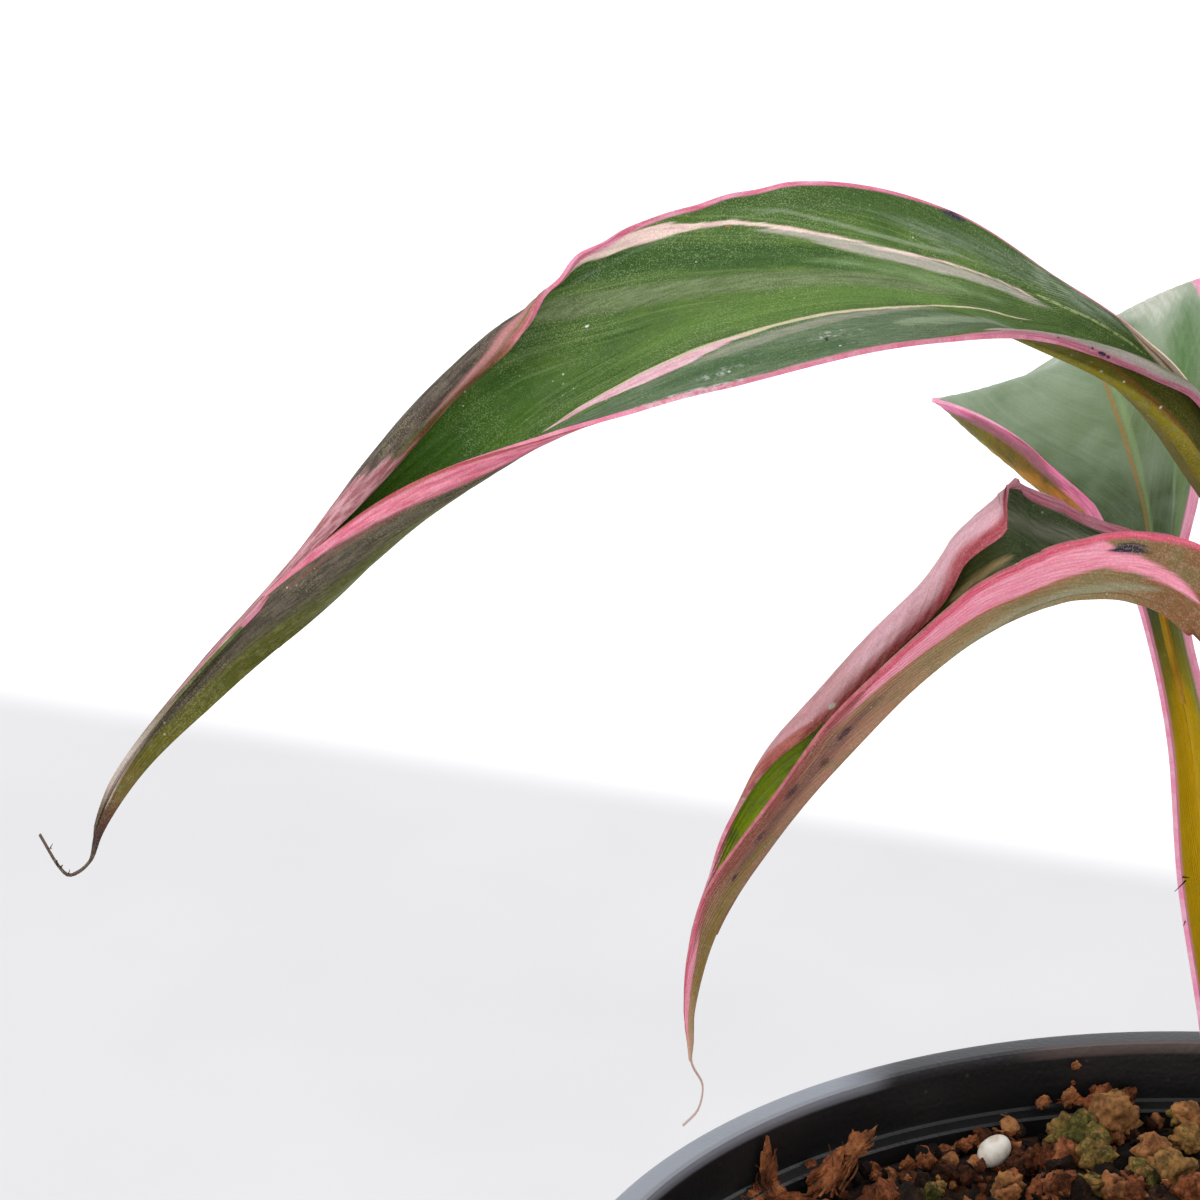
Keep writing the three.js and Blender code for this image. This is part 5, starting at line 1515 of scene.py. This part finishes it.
# lumps seen in the picture: column, row, height, size, tone
soilLumps = (
    (1120, 1112, 88.0, 1.9, 0.78), (1104, 1120, 87.4, 1.5, 0.62), (1077, 1138, 87.0, 2.3, 0.9),
    (1096, 1152, 87.0, 1.9, 0.95), (1183, 1114, 87.8, 1.3, 0.8), (1147, 1157, 87.0, 1.7, 0.72),
    (1173, 1168, 86.8, 1.9, 0.84), (1060, 1160, 86.9, 1.5, 0.5), (1150, 1182, 86.6, 1.7, 0.93),
    (1042, 1102, 87.9, 0.9, 0.55), (1070, 1098, 88.0, 1.0, 0.6), (1098, 1099, 88.0, 1.2, 0.48),
    (1128, 1096, 88.0, 0.9, 0.5), (800, 1160, 86.8, 0.7, 0.5), (910, 1180, 86.6, 1.0, 0.5),
    (927, 1163, 86.6, 0.8, 0.55), (937, 1193, 86.6, 1.2, 0.92), (965, 1175, 86.6, 0.8, 0.42),
    (1010, 1132, 86.9, 0.8, 0.5), (1022, 1160, 86.9, 1.1, 0.4), (1012, 1190, 86.6, 1.4, 0.66),
    (1046, 1190, 86.6, 1.3, 0.58), (1088, 1184, 86.6, 1.5, 0.88), (1118, 1190, 86.5, 1.2, 0.7),
    (1188, 1140, 87.2, 1.3, 0.88), (1195, 1190, 86.6, 1.6, 0.6), (975, 1140, 86.6, 0.7, 0.52),
    (880, 1192, 86.5, 0.9, 0.5), (770, 1190, 86.5, 1.1, 0.58), (745, 1196, 86.5, 0.9, 0.46),
    (1075, 1064, 90.9, 0.5, 0.68), (1072, 1080, 89.3, 0.25, 0.6), (1073, 1090, 88.6, 0.2, 0.6),
)
# bark flakes leaning on the wall: foot and tip columns, rows and heights, width, tone
soilFlakes = (
    ((764, 1194, 86.0), (757, 1142, 90.2), 0.6, 0.6), ((770, 1188, 86.4), (768, 1160, 88.6), 0.45, 0.56),
    ((756, 1196, 86.0), (748, 1182, 87.4), 0.5, 0.5), ((816, 1194, 86.2), (838, 1158, 88.8), 0.9, 0.57),
    ((834, 1176, 87.2), (864, 1136, 90.2), 0.85, 0.6), ((850, 1162, 88.2), (857, 1133, 90.4), 0.5, 0.56),
    ((840, 1152, 89.0), (868, 1146, 89.6), 0.6, 0.62), ((808, 1180, 87.0), (836, 1166, 88.2), 0.55, 0.5),
    ((1056, 1176, 86.4), (1066, 1142, 88.4), 0.7, 0.58),
    ((1062, 1100, 87.8), (1120, 1104, 88.0), 0.5, 0.56), ((746, 1199, 85.8), (800, 1197, 86.2), 0.7, 0.5),
)
# loose strands: foot and tip columns, rows and heights, how many, spread
coirTufts = (
    ((762, 1194, 86.2), (757, 1144, 90.2), 5, 0.6), ((826, 1190, 86.4), (858, 1138, 90.0), 8, 1.3),
    ((998, 1134, 86.8), (996, 1124, 87.8), 4, 0.5), ((745, 1199, 86.0), (738, 1190, 87.0), 8, 1.2),
)


def makeCrumbMaterial():
    # one tone per crumb, from near-black peat through orange-brown and tan to mossy olive
    material, tree, shader = newMaterial("looseCrumbs", 0.85, 0.2)
    spot = objectPlace(tree)
    tone = Wire(put(tree, "Attribute", attribute_name="tone").outputs["Fac"])
    speckle = grain(spot, 2.4, 4.0, 0.65)
    level = (speckle - 0.5).calc("MULTIPLY_ADD", 0.5, tone, clamp=True)
    colour = ramp(level, [(0, 14, 11, 10), (0.24, 28, 18, 13), (0.44, 96, 50, 24), (0.56, 152, 88, 54),
                          (0.7, 174, 118, 74), (0.82, 168, 124, 72), (0.92, 104, 96, 46), (1, 70, 70, 30)])
    feed(shader["Base Color"], shaded(colour, remap(grain(spot, 0.8, 3.0, 0.6), 0.3, 0.65, 0.35, 1.1)))
    addBump(shader, speckle, 0.3)
    return material


def makeBeadMaterial():
    material, tree, shader = newMaterial("paleBead", 0.5)
    stains = grain(objectPlace(tree), 0.7, 4.0, 0.6)
    colour = ramp(stains, [(0.3, 196, 180, 160), (0.48, 232, 226, 216), (0.7, 244, 240, 234)])
    feed(shader["Base Color"], colour)
    addBump(shader, stains, 0.08)
    return material


def roughen(piece, amount, frequency, shift):
    away = Vector((shift, 0, 0))
    moved = [Vector(p) * (1 + amount * noise.noise(Vector(p) * frequency + away)) for p in readPoints(piece)]
    writePoints(piece, np.array(moved))


def makeCrumb(seed):
    deselectAll()
    bpy.ops.mesh.primitive_ico_sphere_add(subdivisions=2, radius=1)
    piece = namePiece("crumbPattern")
    roughen(piece, 0.7, 1.3, seed * 7.7)
    roughen(piece, 0.35, 3.1, seed * 3.3)
    return piece


def makeLump(seed):
    # weathered lump with pits and small broken faces, for the few large ones
    deselectAll()
    bpy.ops.mesh.primitive_ico_sphere_add(subdivisions=4, radius=1)
    piece = namePiece("lumpPattern")
    for amount, frequency in ((0.65, 1.0), (0.32, 2.2), (0.12, 5.0), (0.05, 12.0)):
        roughen(piece, amount, frequency, seed * 4.9 + frequency)
    return piece


def makeBark(seed):
    deselectAll()
    bpy.ops.mesh.primitive_cube_add(size=1.6)
    piece = namePiece("barkPattern")
    editAll(piece)
    bpy.ops.mesh.subdivide(number_cuts=2)
    bpy.ops.object.mode_set(mode="OBJECT")
    roughen(piece, 0.5, 0.9, seed * 5.1)
    roughen(piece, 0.25, 2.7, seed * 2.3)
    edges = piece.modifiers.new("wornEdges", "BEVEL")
    edges.width = 0.05
    edges.segments = 1
    edges.limit_method = "ANGLE"
    applyModifiers(piece)
    return piece


def makeFibre(seed, sway=0.45):
    # thin strand drawn out ring by ring along a loose curve
    random.seed(seed)
    rings = fibreShape["rings"]
    deselectAll()
    bpy.ops.mesh.primitive_circle_add(vertices=5, radius=fibreShape["thick"], fill_type="NGON")
    piece = namePiece("fibrePattern")
    editAll(piece)
    lean = Vector((random.uniform(-sway, sway) * 0.7, random.uniform(-sway, sway) * 0.7, 1))
    at = Vector((0, 0, 0))
    for k in range(rings):
        lean += Vector((random.uniform(-sway, sway), random.uniform(-sway, sway), 0))
        move = lean.normalized() * fibreShape["length"] / rings
        at += move
        drawOut(move, (0.86, 0.86, 0.86), at)
    closeEdit()
    return piece


def copyBit(pattern, spot, turn, size, tone):
    bit = pattern.copy()
    bit.data = pattern.data.copy()
    bpy.context.scene.collection.objects.link(bit)
    grown = Matrix.Diagonal((*[s * mm for s in size], 1))
    bit.data.transform(Matrix.Translation(Vector(spot) * mm) @ turn.to_matrix().to_4x4() @ grown)
    addMeasure(bit, "tone", np.full(len(bit.data.vertices), tone))
    return bit


def strandBit(pattern, start, end, size, tone):
    # a pattern that points up, laid from one point to another
    lean = end - start
    turn = lean.to_track_quat("Z", "Y").to_euler()
    return copyBit(pattern, start, turn, (*size, lean.length / fibreShape["length"]), tone)


def gatherBits(bits, patterns, name):
    for pattern in patterns:
        bpy.data.objects.remove(pattern)
    return joinPieces(bits, name)


# the pot's inner wall: heights and radii
innerWall = ((0, 86, 86.7, 87, 87.2, 91.5), (37.1, 48.5, 48.5, 49.8, 50, 50.1))


def keepInPot(piece, band=1.2):
    # what reaches past the wall is squeezed into the band before it
    points = readPoints(piece) / mm
    reach = np.hypot(points[:, 0], points[:, 1])
    start = np.interp(points[:, 2], *innerWall) - band
    past = np.maximum(reach - start, 0)
    points[:, :2] *= (1 - (past - band * (1 - np.exp(-past / band))) / reach)[:, None]
    writePoints(piece, points * mm)


def randomTurn(tilt=1.5):
    return Euler((random.uniform(-tilt, tilt), random.uniform(-tilt, tilt), random.uniform(0, 6.283)))


def onSoil(reach):
    angle = random.uniform(0, fullTurn)
    radius = reach * math.sqrt(random.random())
    return radius * math.cos(angle), radius * math.sin(angle)


def makeCrumbs(material):
    shape = crumbShape
    patterns = [makeCrumb(k + 1) for k in range(4)]
    random.seed(soilShape["seed"])
    bits = []
    for k in range(shape["count"] + shape["extra"]):
        x, y = onSoil(shape["reach"])
        if k >= shape["count"]:
            column, row = random.uniform(*shape["extraColumns"]), random.uniform(*shape["extraRows"])
            x, y, _ = seePoint(column, row, shape["extraHeight"])
            pull = min(1, shape["reach"] / math.hypot(x, y))
            x, y = x * pull, y * pull
        size = random.uniform(*shape["size"]) * (1.25 if random.random() < 0.12 else 0.8)
        turn = randomTurn()
        radii = (size, size * random.uniform(0.7, 1), size * shape["squash"])
        tones = shape["brownTones"] if random.random() < shape["brownShare"] else shape["darkTones"]
        spot = (x, y, soilHeight(x, y) + 0.25 * size)
        bits.append(copyBit(patterns[k % 4], spot, turn, radii, random.uniform(*tones)))
    return finishPiece(gatherBits(bits, patterns, "soilCrumbs"), shape["smooth"], material)


def makeLumps(material):
    shape = lumpShape
    patterns = [makeLump(k + 1) for k in range(3)]
    random.seed(soilShape["seed"] + 3)
    bits = []
    for column, row, height, size, tone in soilLumps:
        spot = seePoint(column, row, height)
        parts, spread = (len(patterns), shape["spread"]) if size > shape["split"] else (1, 0)
        for k in range(parts):
            away = Vector((random.uniform(-1, 1), random.uniform(-1, 1), random.uniform(-0.3, 0.3)))
            part = size * random.uniform(*shape["partSize"])
            turn = randomTurn()
            radii = (part, part, part * shape["squash"])
            shade = min(1, tone + random.uniform(-0.08, 0.08))
            bits.append(copyBit(patterns[k], spot + away * size * spread, turn, radii, shade))
    for foot, tip, width, tone in soilFlakes:
        low, high = seePoint(*foot), seePoint(*tip)
        lean = high - low
        turn = lean.to_track_quat("Z", "Y").to_euler()
        radii = (width, width * 0.6, lean.length * 0.56)
        bits.append(copyBit(patterns[len(bits) % 3], (low + high) / 2, turn, radii, tone))
    return finishPiece(gatherBits(bits, patterns, "soilLumps"), shape["smooth"], material)


def makeBarkChips(material):
    shape = barkShape
    patterns = [makeBark(k + 1) for k in range(3)]
    random.seed(soilShape["seed"] + 1)
    bits = []
    for k in range(shape["count"]):
        x, y = onSoil(shape["reach"])
        size = random.uniform(*shape["size"])
        turn = randomTurn(0.5)
        radii = (size * random.uniform(1, 1.7), size, size * shape["squash"])
        spot = (x, y, soilHeight(x, y) + 0.3)
        bits.append(copyBit(patterns[k % 3], spot, turn, radii, random.uniform(*shape["tones"])))
    return finishPiece(gatherBits(bits, patterns, "barkChips"), shape["smooth"], material)


def makeFibres(material):
    shape = fibreShape
    patterns = [makeFibre(k + 21) for k in range(4)]
    random.seed(soilShape["seed"] + 2)
    bits = []
    for k in range(shape["count"]):
        x, y = onSoil(shape["reach"])
        length = random.uniform(0.3, 0.9)
        turn = Euler((random.uniform(1.5, 1.66), 0, random.uniform(0, 6.283)))
        spot = (x, y, soilHeight(x, y) + 0.3)
        bits.append(copyBit(patterns[k % 4], spot, turn, (1, 0.3, length), random.uniform(*shape["tones"])))
    for foot, tip, strands, spread in coirTufts:
        low, high = seePoint(*foot), seePoint(*tip)
        for k in range(strands):
            start = low + Vector([random.uniform(-1, 1) * spread for _ in range(2)] + [0])
            end = high + Vector([random.uniform(-1, 1) * spread for _ in range(3)]) * 0.9
            bits.append(strandBit(patterns[k % 4], start, end, (0.9, 0.9), random.uniform(0.45, 0.7)))
    return finishPiece(gatherBits(bits, patterns, "coirFibres"), shape["smooth"], material)


def makeBead(material):
    deselectAll()
    bpy.ops.mesh.primitive_uv_sphere_add(segments=32, ring_count=20, radius=1)
    piece = namePiece("paleBead")
    roughen(piece, 0.06, 1.2, 4)
    x, y = beadShape["place"]
    spot = Vector((x, y, soilHeight(x, y) + beadShape["raised"]))
    grown = Matrix.Diagonal((*[r * mm for r in beadShape["radii"]], 1))
    turn = Euler(beadShape["turn"]).to_matrix().to_4x4()
    piece.data.transform(Matrix.Translation(spot * mm) @ turn @ grown)
    return finishPiece(piece, beadShape["smooth"], material)


crumbMaterial = makeCrumbMaterial()
for makeBits in (makeCrumbs, makeLumps, makeBarkChips, makeFibres):
    piece = makeBits(crumbMaterial)
    keepInPot(piece)
    dress(piece)
bead = makeBead(makeBeadMaterial())
keepInPot(bead)
dress(bead)


# Stray hairs: place, direction, length, thickness against the strand pattern, tone
leafHairs = (
    ((-88.5, -24, 145.85), (1, 0, 0.1), 0.42, 0.36, 0.42),
    ((-88.18, -24, 145.9), (0.7, 0, 1), 0.36, 0.3, 0.42),
    ((-88.2, -24, 145.9), (0.6, 0, -1), 0.2, 0.26, 0.42),
    ((-87.8, -24, 144.8), (0.5, 0, -0.6), 0.35, 0.8, 0.4),
    ((-87.5, -24, 144.3), (0.75, 0, 0.6), 0.3, 0.6, 0.4),
    ((-86.95, -24, 143.8), (0.5, 0, 1), 0.3, 0.4, 0.36),
    ((-5.55, 1.2, 132.05), (-0.75, 0, -0.95), 1.3, 0.45, 0.14),
    ((-5.8, 1.3, 132.3), (1, 0, -0.25), 0.5, 0.6, 0.36),
    ((-5.45, 1.0, 128.75), (-0.3, 0, -1), 0.35, 0.4, 0.2),
)


def makeLeafHairs(material):
    patterns = [makeFibre(k + 31, 0.03) for k in range(3)]
    bits = []
    for k, (spot, direction, length, thick, tone) in enumerate(leafHairs):
        turn = Vector(direction).to_track_quat("Z", "Y").to_euler()
        size = (thick, thick, length / fibreShape["length"])
        bits.append(copyBit(patterns[k % 3], spot, turn, size, tone))
    piece = gatherBits(bits, patterns, "strayHairs")
    wear(piece, material)
    return piece


dress(makeLeafHairs(crumbMaterial))


# Table and wall: one pale floor, white past the table's far edge
tableEdge = {
    "pixels": ((0, 684), (1200, 868)),
    "fade": (-8, 9),
}


def makeFloorMaterial():
    material, tree, shader = newMaterial("paleTable", 0.7, 0.1)
    first, second = (seePoint(*pixel) for pixel in tableEdge["pixels"])
    spot = objectPlace(tree)
    x, y, _ = split(spot)
    slope = (second.y - first.y) / (second.x - first.x)
    wall = remap(y - x.timesPlus(slope, first.y - slope * first.x), *tableEdge["fade"])
    clouds = remap(grain(spot, 0.02, 3.0), 0.3, 0.7)
    white = (255, 255, 255)
    feed(shader["Base Color"], blend(wall, blend(clouds, (233, 233, 236), (237, 237, 240)), white))
    feed(shader["Emission Color"], blend(wall, (0, 0, 0), white))
    feed(shader["Emission Strength"], 0.35)
    return material


def makeFloor(material):
    deselectAll()
    bpy.ops.mesh.primitive_plane_add(size=24)
    piece = namePiece("tableAndWall")
    wear(piece, material)
    return piece


makeFloor(makeFloorMaterial())

world = bpy.data.worlds.new("studio")
bpy.context.scene.world = world
world.use_nodes = True
background = world.node_tree.nodes["Background"].inputs
background["Color"].default_value = (1, 1, 1, 1)
background["Strength"].default_value = 0.76

# Lights, in metres, all turned to one aim
lightAim = (-0.02, 0, 0.12)
lights = {
    "keyLight": {"place": (-0.9, -0.5, 1.4), "size": 0.9, "power": 7},
    "sideLight": {"place": (0.9, 0.4, 1.1), "size": 0.8, "power": 2.5},
    "frontLight": {"place": (-0.25, -1.3, 0.12), "size": 0.9, "power": 4},
}
for name, light in lights.items():
    data = bpy.data.lights.new(name, "AREA")
    data.size = light["size"]
    data.energy = light["power"]
    lamp = bpy.data.objects.new(name, data)
    bpy.context.scene.collection.objects.link(lamp)
    lamp.location = light["place"]
    lamp.rotation_mode = "QUATERNION"
    lamp.rotation_quaternion = (Vector(lightAim) - Vector(light["place"])).to_track_quat("-Z", "Y")
bpy.context.scene.view_settings.view_transform = "Standard"
print("floor and lights made")
